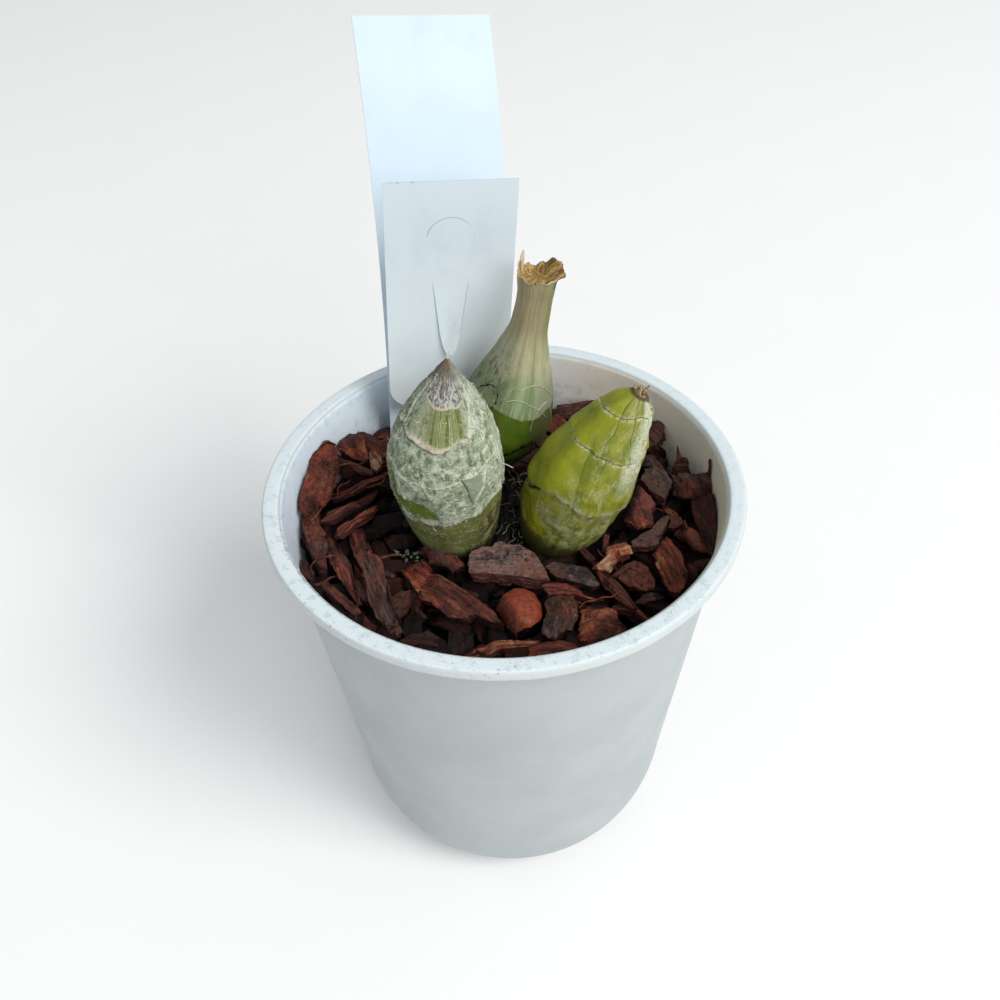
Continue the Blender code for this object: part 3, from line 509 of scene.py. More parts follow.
def potMaterial():
    # Satin white, cloudy in places, with smudges and dark specks on the rim and dirt at its edges, and
    # painted light: a greyer body, a lighter rim top and a lighter inside.
    material, start = newMaterial("potPlastic")
    place = objectPlace(start)
    parts = [start.node("ShaderNodeSeparateXYZ", None, {0: place}, output=axis) for axis in range(3)]
    radius = (parts[0] * parts[0] + parts[1] * parts[1]) ** 0.5
    onRim = between(parts[2], pot["height"] - 3.5, pot["height"] - 3)
    straight = pot["height"] - pot["skirt"] - pot["cornerHeight"]
    slope = (pot["bodyTopRadius"] - pot["cornerRadius"]) / straight
    outer = pot["cornerRadius"] + slope * (parts[2] - pot["cornerHeight"])
    inside = between(radius - outer, -0.4, -0.8) * between(parts[2], 50, 60)
    top = between(parts[2], pot["height"] - 0.35, pot["height"] - 0.1)
    cloud = noise(place, 0.05, 4, 0.6)
    # The body's white is painted shade: greyer than the rim of the same plastic.
    white = paint(pot["bodyShadedWhite"], darker(pot["bodyShadedWhite"], 0.93), between(cloud, 0.35, 0.7))
    warmer = between(parts[0] + 12 * (cloud - 0.5), -5, 35)
    # The inside is painted lighter as painted light through the thin wall, warmer towards +X with that
    # light's tint and a soil film.
    innerLitWhite = paint(pot["insideLitWhite"], pot["insideLitWarm"], warmer)
    coat = Coat(paint(white, innerLitWhite, inside))
    # The lip and the rim's top are painted lighter, as painted light from above.
    coat(pot["lipLitWhite"], onRim * (1 - inside))
    coat(pot["rimTopLitWhite"], top)
    smudge = noise(place, 0.42, 5, 0.7)
    coarse = noise(place, 0.16, 3, 0.6)
    fine = noise(place, 1.5, 3, 0.65)
    finest = noise(place, 2.6, 2, 0.6)
    nearer = between(parts[1] + 0.4 * parts[0], 15, -45)
    smudged = between(smudge + 0.5 * (fine - 0.5), 0.5, 0.68) * onRim
    coat(pot["rimShade"], smudged * (0.38 + 0.42 * nearer))
    specks = between(fine, 0.62, 0.68) * between(coarse, 0.5, 0.62) * onRim
    dots = between(finest, 0.665, 0.725) * between(smudge, 0.48, 0.6) * onRim
    coat(pot["speck"], specks * (0.3 + 0.55 * nearer))
    coat(pot["speck"], dots * (0.28 + 0.55 * nearer))
    innerEdge = between(radius, pot["mouthRadius"] + 0.5, pot["mouthRadius"] - 0.1)
    innerEdge = innerEdge * between(parts[2], pot["height"] - 1.7, pot["height"] - 0.9)
    smear = between(noise(place, 0.8, 4, 0.7), 0.5, 0.62)
    frontLeft = between(0.6 * parts[0] + 0.8 * parts[1], -36, -52)
    coat(pot["dirt"], innerEdge * smear * frontLeft * 0.7)
    underEdge = between(parts[2], pot["height"] - 2.7, pot["height"] - 3.1) * between(radius, 57.6, 58.4)
    coat(pot["grime"], underEdge * smear * 0.7)
    scuff = between(noise(place, 0.35, 3, 0.65), 0.66, 0.74) * between(cloud, 0.5, 0.65)
    coat(pot["scuff"], scuff * 0.22)
    foot = between(parts[2], 5, 0.5)
    coat(pot["footDirt"], foot * smear * 0.5)
    # Soil stains in patches on the inside just above the bark.
    soilAndShade = between(noise(place, 0.3, 4, 0.65), 0.5, 0.72) * inside * between(parts[2], 120, 108)
    coat(pot["soilAndShade"], soilAndShade * 0.5)
    roughness = 0.36 + 0.25 * cloud + 0.2 * specks
    relief = 0.5 * cloud + 0.4 * smudge * onRim
    return finishMaterial(material, start, coat, roughness, relief, 0.05, 0.4)


def makePot():
    inside = potInnerProfile(0, pot["height"] - 4.2)[::-1]
    rim = smoothPath([(pot["mouthRadius"] + out, pot["height"] - down) for out, down in pot["rim"]], 56)
    rim[:, 0] = np.minimum(rim[:, 0], pot["mouthRadius"] + 4)
    heights = np.concatenate([np.linspace(pot["height"] - 6, pot["cornerHeight"], 20),
                              pot["cornerHeight"] * np.cos(np.linspace(0, math.pi / 2, 18)[1:-2])])
    body = np.stack([potOuterRadius(heights), heights], -1)
    lip = pot["footLip"]
    lipRadius = float(potOuterRadius(lip * 0.5))
    foot = [(float(potOuterRadius(lip)) + 0.2, lip + 0.6), (lipRadius - pot["footGroove"], lip + 0.1),
            (lipRadius, lip - 0.5), (lipRadius - 0.05, 0.8), (lipRadius - 0.3, 0.2),
            (lipRadius - 0.6, 0), (30, 0), (12, 0), (0.5, 0)]
    body = body[body[:, 1] > lip + 1]
    profile = np.concatenate([inside, rim, body, np.array(foot)])
    grid = turned(profile[::-1], pot["columns"])
    # The skirt's lower edge wanders a little.
    edge = smoothStep(grid[..., 2], pot["height"] - 1.8, pot["height"] - 3)
    edge = edge * smoothStep(np.hypot(grid[..., 0], grid[..., 1]), 56.6, 57.4)
    ripple = softNoise(grid * (1, 1, 0), 5, 3) + 0.5 * softNoise(grid * (1, 1, 0), 1.8, 4)
    grid[..., 2] += 0.16 * edge * ripple
    piece = addPiece("pot", [gridPatch(grid)], potMaterial(), ["pot"])
    turns = (np.arange(pot["drainHoles"]) + 0.5) / pot["drainHoles"] * math.tau
    section = np.array([(pot["drainRadius"], -5), (pot["drainRadius"], 5)])
    holes = [gridPatch(turned(section, 32) + around(pot["drainCircle"], turn)) for turn in turns]
    cutPiece(piece, holes)


def cutPiece(piece, patches):
    # One Boolean difference with closed patches, applied, after which the cutter is removed.
    cutter = linked("cutter", stackPatches("cutter", patches))
    boolean = piece.modifiers.new("cut", "BOOLEAN")
    boolean.operation = "DIFFERENCE"
    boolean.solver = "MANIFOLD"
    boolean.object = cutter
    applyModifiers(piece)
    bpy.data.objects.remove(cutter, do_unlink=True)


# Bark

bark = {
    "groundHeight": 100.0,
    "seed": 41,
    "spacing": 0.38,
    "fillCount": 140,
    "fillRadius": 51.5,
    "fillKeepOff": 5.0,
    "crumbCount": 300,
    "fillHeight": 101.2,
    "fillSpacing": 1.05,
    "fillLength": (9.0, 17.0),
    "fillWidth": (4.0, 7.5),
    "fillThickness": (2.4, 4.4),
    "crumbHeight": 101.0,
    "crumbSpacing": 1.2,
    "crumbLength": (2.0, 5.5),
    "crumbWidth": (1.0, 2.4),
    "crumbThickness": (0.7, 1.6),
    # From where to where, towards +Y, the fill chips are painted lighter behind the pseudobulbs, out of the
    # painted shade of the gaps in front.
    "back": (14.0, 30.0),
    "strandCount": 26,
    "strandHeight": (109.0, 111.5),
    "edgeAngle": 38.0,
    "wallGap": 0.35,
    # Kinds of chip: how domed, how deep its fibres and its flakes stand, how ragged its outline is,
    # how far the layers in its side stand, how steeply its top is split off, how far its side leans
    # in below, and how strongly its fibres show.
    "kinds": {
        "slab": (0.0, 0.08, 0.24, 0.3, 0.3, 0.06, 0.06, 0.35),
        "plank": (0.1, 0.3, 0.26, 0.45, 0.26, 0.24, 0.25, 1.0),
        "splinter": (0.2, 0.2, 0.12, 0.3, 0.14, 0.2, 0.3, 1.0),
        "chunk": (0.25, 0.2, 0.8, 0.45, 0.36, 0.34, 0.14, 0.45),
        "lumpy": (0.1, 0.08, 1.2, 0.45, 0.2, 0.12, 0.25, 0.25),
        "nugget": (0.85, 0.03, 0.06, 0.1, 0.03, 0.12, 0.3, 0.35),
    },
    # Each chip that can be told apart: kind, centre x y z, thickness, heading, tilt and roll, its tone, from
    # 0 slate and 0.38 dark red to 0.62 orange-brown and 1 tan, and how light it is, partly its own lightness
    # and partly painted shade, lower for chips that lie deep. Then come the corners of its top, along and
    # across its heading, in tenths of a millimetre.
    "chips": """
slab 0.1 -17.3 107.8 4.6 -3 2 6 0.12 1.74: -91,-30 -3,-44 72,-55 106,-53 87,-8 73,24 58,30 33,50 6,54
  -19,68 -37,49 -62,47 -91,35 -97,-2;
plank -15.3 -24.8 106.6 4.6 -43 3 14 0.42 1.05: -134,-13 -86,-30 -47,-42 -3,-41 63,-48 98,-32 114,-6
  163,0 187,11 146,26 103,28 59,30 -4,34 -59,31 -93,45 -121,52 -133,23 -154,-7;
nugget 2.8 -31 106.9 9.4 12 0 0 0.72 0.96: -49,0 -44,-34 -28,-60 9,-65 37,-51 45,-40 52,-6 46,28 23,51
  -5,59 -36,44 -56,20;
chunk -15.8 -13.3 107 3.6 -31 0 10 0.3 0.8: -51,-4 -23,-21 16,-16 41,-24 58,-4 62,5 33,18 8,17 -36,20
  -62,9 -67,-8;
splinter -2.2 -41.2 106.2 2.6 10 1 0 0.8 0.95: -79,-10 -50,-16 -3,-13 44,-13 92,-10 97,1 38,13 -8,18
  -51,16 -87,-1;
plank 8.4 -42.4 105.2 3.6 -3 0 14 0.5 0.95: -57,-21 -16,-23 43,-13 76,6 60,17 30,24 -15,19 -57,9
  -70,-18;
plank 13.7 -27.1 108.5 3 -12 2 4 0.64 1: -37,-16 -8,-18 27,-11 62,-13 95,-9 57,-5 21,15 -6,21 -37,17
  -57,6;
lumpy 11.7 -34.2 106.6 6.5 -70 0 -10 0.3 0.72: -13,-35 32,-58 40,-54 55,-35 44,-4 46,18 23,31 -24,62
  -16,84 -30,56 -49,20 -55,-14;
chunk 21 -36.6 106.5 6.5 8 0 6 0.52 0.95: -53,-14 -54,-37 -35,-48 2,-40 44,-32 61,-30 56,-3 46,24 30,45
  8,43 -11,55 -36,42;
slab 16.2 -19.9 106.3 2.6 -17 -3 8 0.03 0.95: -59,-3 -40,-21 -12,-20 24,-25 57,-28 72,-18 49,9 28,24
  -23,26 -56,24 -72,7;
splinter 25.5 -25.9 108.4 2.6 -60 3 20 0.46 1.1: -28,-17 30,-18 84,-11 97,2 28,15 -28,15 -84,17 -93,2;
splinter 29.6 -33.2 107.2 2.2 -8 0 0 0.46 0.95: -52,3 -29,2 9,-7 39,-22 50,-15 16,7 -22,16 -55,10;
chunk 26.7 -16.5 109 4.8 22 2 10 0.74 1.05: -52,-22 -27,-36 14,-12 48,-10 50,12 46,31 9,30 -16,21 -23,2
  -65,-6;
chunk 34.9 -2.3 110.3 6 -63 -12 8 0.44 1: -48,8 -20,-22 9,-55 21,-51 47,-35 51,-5 50,11 18,22 5,46
  -33,40 -68,36;
slab 36.9 -10 108.5 2.6 -24 0 6 0.2 0.9: -35,-52 -4,-45 26,-24 21,1 26,38 28,79 5,58 -6,15 -25,-8
  -45,-39;
plank 40.3 -19.5 107.7 4.4 -75 -6 6 0.58 0.95: -50,-26 -9,-33 37,-36 74,-34 86,-16 66,11 41,27 -4,36
  -49,35 -92,29 -70,-2;
nugget 46.7 -11.6 109 5 -50 -2 14 0.62 0.95: -50,-16 -19,-14 21,-22 47,-15 58,-2 35,10 5,23 -24,22
  -50,8;
plank 43.2 -4.4 109.3 3.4 -55 -4 12 0.36 0.85: -30,0 6,-13 19,-35 36,-14 37,3 6,15 -35,22 -53,8;
slab 51.7 -7.2 110.2 3.6 -81 -2 44 0.4 0.6: -43,-27 3,-26 59,-34 91,-31 98,-9 61,10 -7,33 -61,47 -73,16
  -83,-13;
chunk 49.9 5.4 111.3 4.6 -72 0 24 0.36 0.8: -25,-44 -8,-62 5,-48 34,-22 49,6 50,32 40,44 3,59 -16,36
  -44,3 -61,-28;
slab 40.9 8.8 108.8 4.2 -55 -4 4 0.22 0.75: -3,-36 30,-38 57,-27 47,-1 31,29 -14,42 -44,34 -53,6
  -32,-31;
splinter 48.1 14.5 111.5 2 0 0 72 0.34 0.75: 3,-70 32,-60 27,-22 17,12 1,18 -12,54 -15,16 -24,-20
  -26,-60;
splinter 54.2 6.5 115.9 1.8 0 0 72 0.36 0.7: 9,-85 11,-35 8,-3 3,34 -7,26 -9,-13 -12,-80;
plank 19.8 42.4 108.4 4.4 10 0 34 0.3 0.65: -46,-40 -14,-30 34,-3 90,22 115,25 39,24 -21,24 -45,9
  -56,-32;
plank 43.3 27.1 110.8 4.2 -66 0 14 0.32 0.75: -10,-19 27,-46 40,-25 30,1 17,22 -22,38 -50,22;
chunk 41 17.4 108.4 4.2 -60 0 -10 0.3 0.6: -19,-32 -5,-26 28,-17 38,20 13,23 -22,24 -37,0;
lumpy -49.2 13.6 112.1 3.8 -100 -4 -36 0.48 0.9: 10,-39 86,-33 127,-19 141,5 111,13 76,41 29,48 -20,46
  -74,39 -115,8 -130,-21 -68,-48;
lumpy -40.6 26.6 110.7 5.4 -39 10 12 0.42 0.9: -28,-34 9,-39 51,-32 68,-16 50,4 22,31 -25,48 -47,41
  -49,7 -45,-29;
chunk -33.7 26.6 108.6 4.6 3 6 10 0.46 0.85: -39,-14 -28,-42 5,-42 34,-24 41,1 34,47 -7,33 -38,32;
splinter -34.8 21.9 110.3 2 -68 4 10 0.84 0.8: 26,-25 46,-11 26,13 -16,24 -45,13 -36,-9;
splinter -41.1 20.3 110.2 1.8 -34 0 0 0.36 0.95: -61,0 -20,-10 31,-14 72,-4 73,8 37,6 -12,6 -55,15
  -81,15;
splinter -37.3 13.4 109.2 2.8 27 3 10 0.34 0.95: -47,-12 17,-12 83,3 92,22 51,12 -10,6 -68,7 -101,-10;
splinter -40.8 4.3 109 2.8 36 4 10 0.44 0.95: -59,-14 -16,-14 34,-12 78,-8 99,10 49,10 -5,10 -52,17
  -88,2;
splinter -38.8 -0.8 108.6 2.6 40 5 -6 0.66 1: -59,-13 -27,-12 17,-14 56,-9 82,9 41,11 0,8 -41,18 -65,6;
slab -48.1 -7.7 107.8 3.6 -68 -2 -8 0.4 0.85: -15,-23 42,-23 80,-16 95,0 58,8 19,24 -28,30 -66,22
  -74,-18;
plank -41.1 -15.4 108.2 3.4 -72 3 8 0.5 0.95: -89,-20 -34,-24 25,-18 86,-3 139,7 144,19 72,18 15,23
  -45,13 -100,6 -137,-8;
plank -33.1 -18.9 108.5 4 -71 2 8 0.26 1: -131,-25 -75,-25 -2,-20 80,-29 137,-27 176,-13 188,9 171,18
  104,20 46,29 -29,34 -60,21 -115,20 -176,19 -192,-15;
plank -35.6 -20.9 106.7 3 -66 2 4 0.3 0.8: -42,-9 11,-17 54,-19 73,-2 65,8 16,13 -44,16 -95,9;
splinter -38.6 -27.1 106.6 2.6 -47 2 0 0.46 1: -77,-13 -19,-12 51,-12 107,-11 101,9 50,13 4,13 -48,10
  -104,12 -104,-6;
slab -25.8 -26.6 106.2 2.6 48 0 -16 0.36 0.95: -38,-28 -15,-36 12,-21 41,9 18,33 -11,32;
chunk -28.2 -33.8 104.9 4 -40 0 4 0.34 0.75: -1,-36 30,-21 29,8 23,28 -9,42 -24,9 -39,-16;
chunk -29.7 -15.9 105.4 2.6 -40 0 0 0.28 0.7: 2,-14 23,-11 21,6 -9,12 -33,8;
plank -49.8 -15.2 106.6 3.4 -70 2 20 0.36 0.6: -23,-17 25,-9 45,9 24,17 -18,11 -47,-6;
slab 32.1 -22.2 106.4 2.6 -38 -4 6 0.5 0.75: -5,-37 28,-28 49,-6 34,19 2,40 -26,43 -34,-4 -42,-32;
splinter 29.3 -19.6 107.4 1.8 20 2 0 0.22 0.8: -29,-16 9,-5 44,4 33,15 -7,7 -43,-5;
splinter 25.1 -11.7 108.5 2 86 30 0 0.42 0.9: -27,-1 -7,-9 23,-11 28,1 2,9 -25,12;
plank 46.6 -20.3 106.1 4 -60 0 24 0.32 0.55: 1,-34 31,-72 22,-46 16,-1 5,43 -9,59 -18,28 -27,0;
splinter 34.1 -28.3 106.2 1.8 16 0 0 0.32 0.75: -24,-12 8,-10 39,-5 24,13 -9,11 -42,-1;
splinter 20.5 -13.7 106.6 1.6 -50 0 0 0.34 0.7: 1,-10 28,-10 27,6 1,8 -24,12 -30,-4;
plank -19.8 -36.9 103.7 3.6 -18 0 10 0.32 0.5: -23,-22 25,-16 51,9 38,20 7,24 -33,8 -55,-16;
plank -21.7 -28.2 103.6 2.6 -48 0 0 0.34 0.5: 10,-9 26,2 16,8 -15,8 -25,-5;
plank -7.7 -24 103.8 3.6 -30 0 8 0.3 0.4: -11,-6 33,-5 36,-1 -2,8 -39,4;
plank -50.4 0.6 108.4 3.2 92 0 -16 0.42 0.7: -80,-16 -20,-26 40,-22 86,-8 74,14 20,24 -46,22 -88,6;
chunk -38 31.6 108.6 3.8 -44 0 8 0.44 0.7: -54,-20 -16,-32 36,-26 60,2 32,28 -24,30 -60,10;
plank 14.7 -39.4 103.8 3.6 24 0 0 0.34 0.5: -19,-1 7,-21 21,-10 13,14 -26,14
""",
    "tones": [(0.0, (0.034, 0.024, 0.024)), (0.12, (0.1, 0.062, 0.053)), (0.26, (0.094, 0.045, 0.033)),
        (0.4, (0.087, 0.0235, 0.0165)), (0.58, (0.15, 0.041, 0.0255)), (0.72, (0.218, 0.04, 0.0185)),
        (0.86, (0.265, 0.095, 0.048)), (1.0, (0.34, 0.19, 0.12))],
    # Near black, painted shade in the bark's crevices and pores.
    "creviceShade": (0.01, 0.004, 0.003),
    "layers": ((0.016, 0.005, 0.004), (0.095, 0.024, 0.018)),
    # Paler on raised ridges: wear, and painted light on the ridges.
    "wornAndLitRidge": (0.26, 0.108, 0.07),
    "straw": (0.34, 0.2, 0.11),
    # The pale specks are painted glints of moist bark.
    "grain": (0.5, 0.38, 0.33),
}


def wallRadius(height):
    # The pot's inner radius at a height, less the gap that the bark keeps.
    return potOuterRadius(height) - pot["wall"] - bark["wallGap"]


def outlineRing(corners, spacing):
    # Points spaced evenly along the straight stretches between the corners, and half the mean width.
    closed = np.concatenate([corners, corners[:1]])
    stretches = np.diff(closed, axis=0)
    along = np.concatenate([[0], np.cumsum(np.hypot(stretches[:, 0], stretches[:, 1]))])
    columns = int(np.clip(along[-1] / spacing, 12, 190))
    at = np.linspace(0, along[-1], columns, endpoint=False)
    ring = np.stack([np.interp(at, along, closed[:, axis]) for axis in range(2)], -1)
    area = abs(np.sum(closed[:-1, 0] * closed[1:, 1] - closed[1:, 0] * closed[:-1, 1])) / 2
    return ring, 2 * area / along[-1]


def placedChips():
    # The table's rows as a chip's values and the corners of its top.
    for row in bark["chips"].split(";"):
        values, corners = row.split(":")
        kind, *numbers = values.split()
        corners = np.array(corners.replace(",", " ").split(), float).reshape(-1, 2) / 10
        yield (kind, *(float(number) for number in numbers)), corners


def chipPatch(chip, corners, spacing, seed):
    # Rings of the outline shrunk to its middle are the top and the underside, and the broken side is
    # between them. Planes (side . p - reach) * slope split pieces off the top, and fibres run along it.
    kind, x, y, z, thickness, heading, tilt, roll, tone, light = chip
    dome, fibre, plates, ragged, layers, splits, leaning, thread = bark["kinds"][kind]
    waxy = 1 if kind == "nugget" else 0
    rng = np.random.default_rng(seed)
    offset = rng.uniform(-400, 400, 3)
    ring, reach = outlineRing(corners, spacing)
    tops = int(np.clip(1.5 * reach / spacing, 3, 22))
    sides = int(np.clip(1.1 * thickness / spacing, 2, 11))
    shrink = np.concatenate([np.linspace(0.06, 1, tops) ** 0.8, np.ones(sides), [1, 0.6, 0.2]])[:, None]
    level = np.concatenate([np.ones(tops), np.linspace(1, -1, sides + 2)[1:-1], -np.ones(3)])[:, None]
    half = thickness / 2
    onSide = 1 - np.abs(level) ** 8 + 0 * shrink
    grid = np.zeros((len(shrink), len(ring), 3))
    grid[..., :2] = ring[None] * shrink[..., None]
    grid[..., 2] = half * level
    place = grid + offset
    outward = ring / np.maximum(np.linalg.norm(ring, axis=1, keepdims=True), 1e-6)
    # The outline: torn fibres at its ends, and a side that leans in below.
    torn = roughNoise(place * (1, 1, 0.25), (2.2, 0.7, 0.7), 3, 3)
    lean = leaning + 0.22 * softNoise(place * (1, 1, 0), 3, 9)
    inward = lean * (1 - level) * half + 0.12 * np.abs(level) ** 6
    sheets = softNoise(place, (3, 3, 0.42), 12) + 0.6 * softNoise(place, (1.6, 1.6, 0.2), 13)
    push = ragged * torn * shrink ** 4 + layers * sheets * onSide
    push = push - np.clip(inward, 0, 0.5 * reach) * shrink ** 3
    grid[..., :2] += outward[None] * push[..., None]
    # The top: split planes, each with a shade of its own, flakes with sharp edges, fibres and pits.
    top = np.clip(level, 0, 1)
    drop = half * dome * (1 - np.sqrt(1 - 0.985 * shrink ** 2)) + 0 * grid[..., 0]
    facet = 0 * drop
    for split in range(5):
        angle = rng.uniform(0, math.tau)
        away = grid[..., 0] * math.cos(angle) + grid[..., 1] * math.sin(angle)
        away = np.maximum(away - rng.uniform(0, 0.9) * reach, 0)
        drop += splits * rng.uniform(0.3, 1.8) * away
        facet = facet + (0.15 + splits) * rng.uniform(-0.42, 0.5) * smoothStep(away, 0, 0.4)
    if waxy:
        split = np.maximum(-0.9 * grid[..., 0] - 0.3 * grid[..., 1] - 0.42 * reach, 0)
        drop += 0.8 * split
        facet = facet - 0.26 * smoothStep(split, 0, 1.2)
    lumps = roughNoise(place, (4.6, 2.4, 2.4), 7, 3)
    steps = np.floor(lumps * 2.4)
    terrace = (steps + smoothStep(lumps * 2.4 - steps, 0.7, 0.98)) / 2.4
    strands = roughNoise(place, (9, 0.9, 0.9), 4, 3) + 0.7 * softNoise(place, (6, 0.5, 0.5), 6)
    pits = np.maximum(roughNoise(place, 0.9, 15, 2) - 0.4, 0)
    rise = fibre * strands + plates * (0.6 * terrace + 0.35 * lumps) - 0.6 * (1 - waxy) * pits
    grid[..., 2] += top * (rise - np.minimum(drop, 1.5 * half))
    turn = (Matrix.Rotation(math.radians(heading), 3, "Z") @ Matrix.Rotation(math.radians(-tilt), 3, "Y")
            @ Matrix.Rotation(math.radians(roll), 3, "X"))
    grid = grid @ np.array(turn).T + (x, y, z)
    # A chip that would reach into the pot's wall lies along it.
    radius = np.hypot(grid[..., 0], grid[..., 1])
    squeeze = np.minimum(wallRadius(grid[..., 2]) / np.maximum(radius, 1e-6), 1)
    grid[..., :2] *= squeeze[..., None]
    relief = top * (rise - 0.35 * plates * lumps) / (0.5 * fibre + 0.5 * plates + 0.15)
    return gridPatch(grid, grain=place, tone=tone + facet, light=light, edge=onSide, relief=relief,
                     gloss=waxy, thread=thread)


def randomCorners(length, width, rng):
    # Corners of a rough ellipse: |cos|^0.6 and |sin|^0.6 of uneven angles, each moved in or out.
    count = rng.integers(6, 10)
    angle = (np.arange(count) + rng.uniform(-0.3, 0.3, count)) / count * math.tau
    out = rng.uniform(0.72, 1.08, count)
    circle = np.stack([np.cos(angle), np.sin(angle)], -1)
    return np.array((length / 2, width / 2)) * out[:, None] * np.sign(circle) * np.abs(circle) ** 0.6


def fillChips():
    # Chips for the ground between the placed ones, on a sunflower spiral. Towards the front they lie deep
    # under the placed ones and are painted dark, as painted shade in the gaps, and behind the pseudobulbs
    # they are the top of the bed, painted lighter.
    rng = np.random.default_rng(bark["seed"])
    placed = np.array([chip[1:3] for chip, _ in placedChips()])
    patches = []
    for index, angle, spread in sunflower(bark["fillCount"]):
        radius = bark["fillRadius"] * spread
        x, y = radius * math.cos(angle), radius * math.sin(angle)
        near = np.hypot(*(placed - (x, y)).T).min() < bark["fillKeepOff"]
        back = float(smoothStep(y, *bark["back"]))
        rise = 3 * (radius / bark["fillRadius"]) ** 2
        height = bark["fillHeight"] + rng.uniform(0, 1.4) + rise + (0 if near else 3 * back)
        kind = ("slab", "plank", "splinter", "chunk", "lumpy")[rng.integers(5)]
        size = (rng.uniform(*bark["fillLength"]), rng.uniform(*bark["fillWidth"]))
        turn = (rng.uniform(0, 180), rng.uniform(-12, 12), rng.uniform(-24, 24))
        # Painted shade: dark in the gaps at the front, lighter behind.
        light = rng.uniform(0.06, 0.19) + back * rng.uniform(0.3, 0.6)
        chip = (kind, x, y, height, rng.uniform(*bark["fillThickness"])) + turn
        chip = chip + (rng.uniform(0.15, 0.65), light)
        patches.append(chipPatch(chip, randomCorners(*size, rng), bark["fillSpacing"], 300 + index))
    return patches


def crumbChips():
    # Small broken bits in the gaps.
    rng = np.random.default_rng(bark["seed"] + 1)
    patches = []
    for index, angle, spread in sunflower(bark["crumbCount"], 40):
        radius = bark["fillRadius"] * spread
        x, y = radius * math.cos(angle), radius * math.sin(angle)
        height = bark["crumbHeight"] + rng.uniform(0, 2) + 2.4 * (radius / bark["fillRadius"]) ** 2
        turn = (rng.uniform(0, 180), rng.uniform(-35, 35), rng.uniform(-40, 40))
        chip = ("chunk", x, y, height, rng.uniform(*bark["crumbThickness"])) + turn
        back = float(smoothStep(y, *bark["back"]))
        # Painted shade: dark in the gaps, lighter behind.
        chip = chip + (rng.uniform(0.1, 0.6), rng.uniform(0.06, 0.24) + 0.35 * back)
        corners = randomCorners(rng.uniform(*bark["crumbLength"]), rng.uniform(*bark["crumbWidth"]), rng)
        patches.append(chipPatch(chip, corners, bark["crumbSpacing"], 900 + index))
    return patches


def groundPatch():
    # A turned surface down the pot's inside whose top is a rough heap, closed at floor and middle. Near
    # black, it is painted shade in the gaps between the chips.
    reach = float(wallRadius(bark["groundHeight"])) - 0.1
    top = np.stack([np.linspace(0.4, reach, 64), np.full(64, bark["groundHeight"])], -1)
    side = potInnerProfile(bark["wallGap"] + 0.1, bark["groundHeight"] - 3)
    grid = turned(np.concatenate([top, side])[::-1], 160)
    heap = smoothStep(grid[..., 2], bark["groundHeight"] - 2, bark["groundHeight"])
    lumps = roughNoise(grid * (1, 1, 0), 3.4, 21, 3)
    grid[..., 2] += heap * (0.9 * lumps - 0.3)
    return gridPatch(grid, grain=grid, tone=0.1, light=0.05, edge=0, relief=0, gloss=0, thread=0)


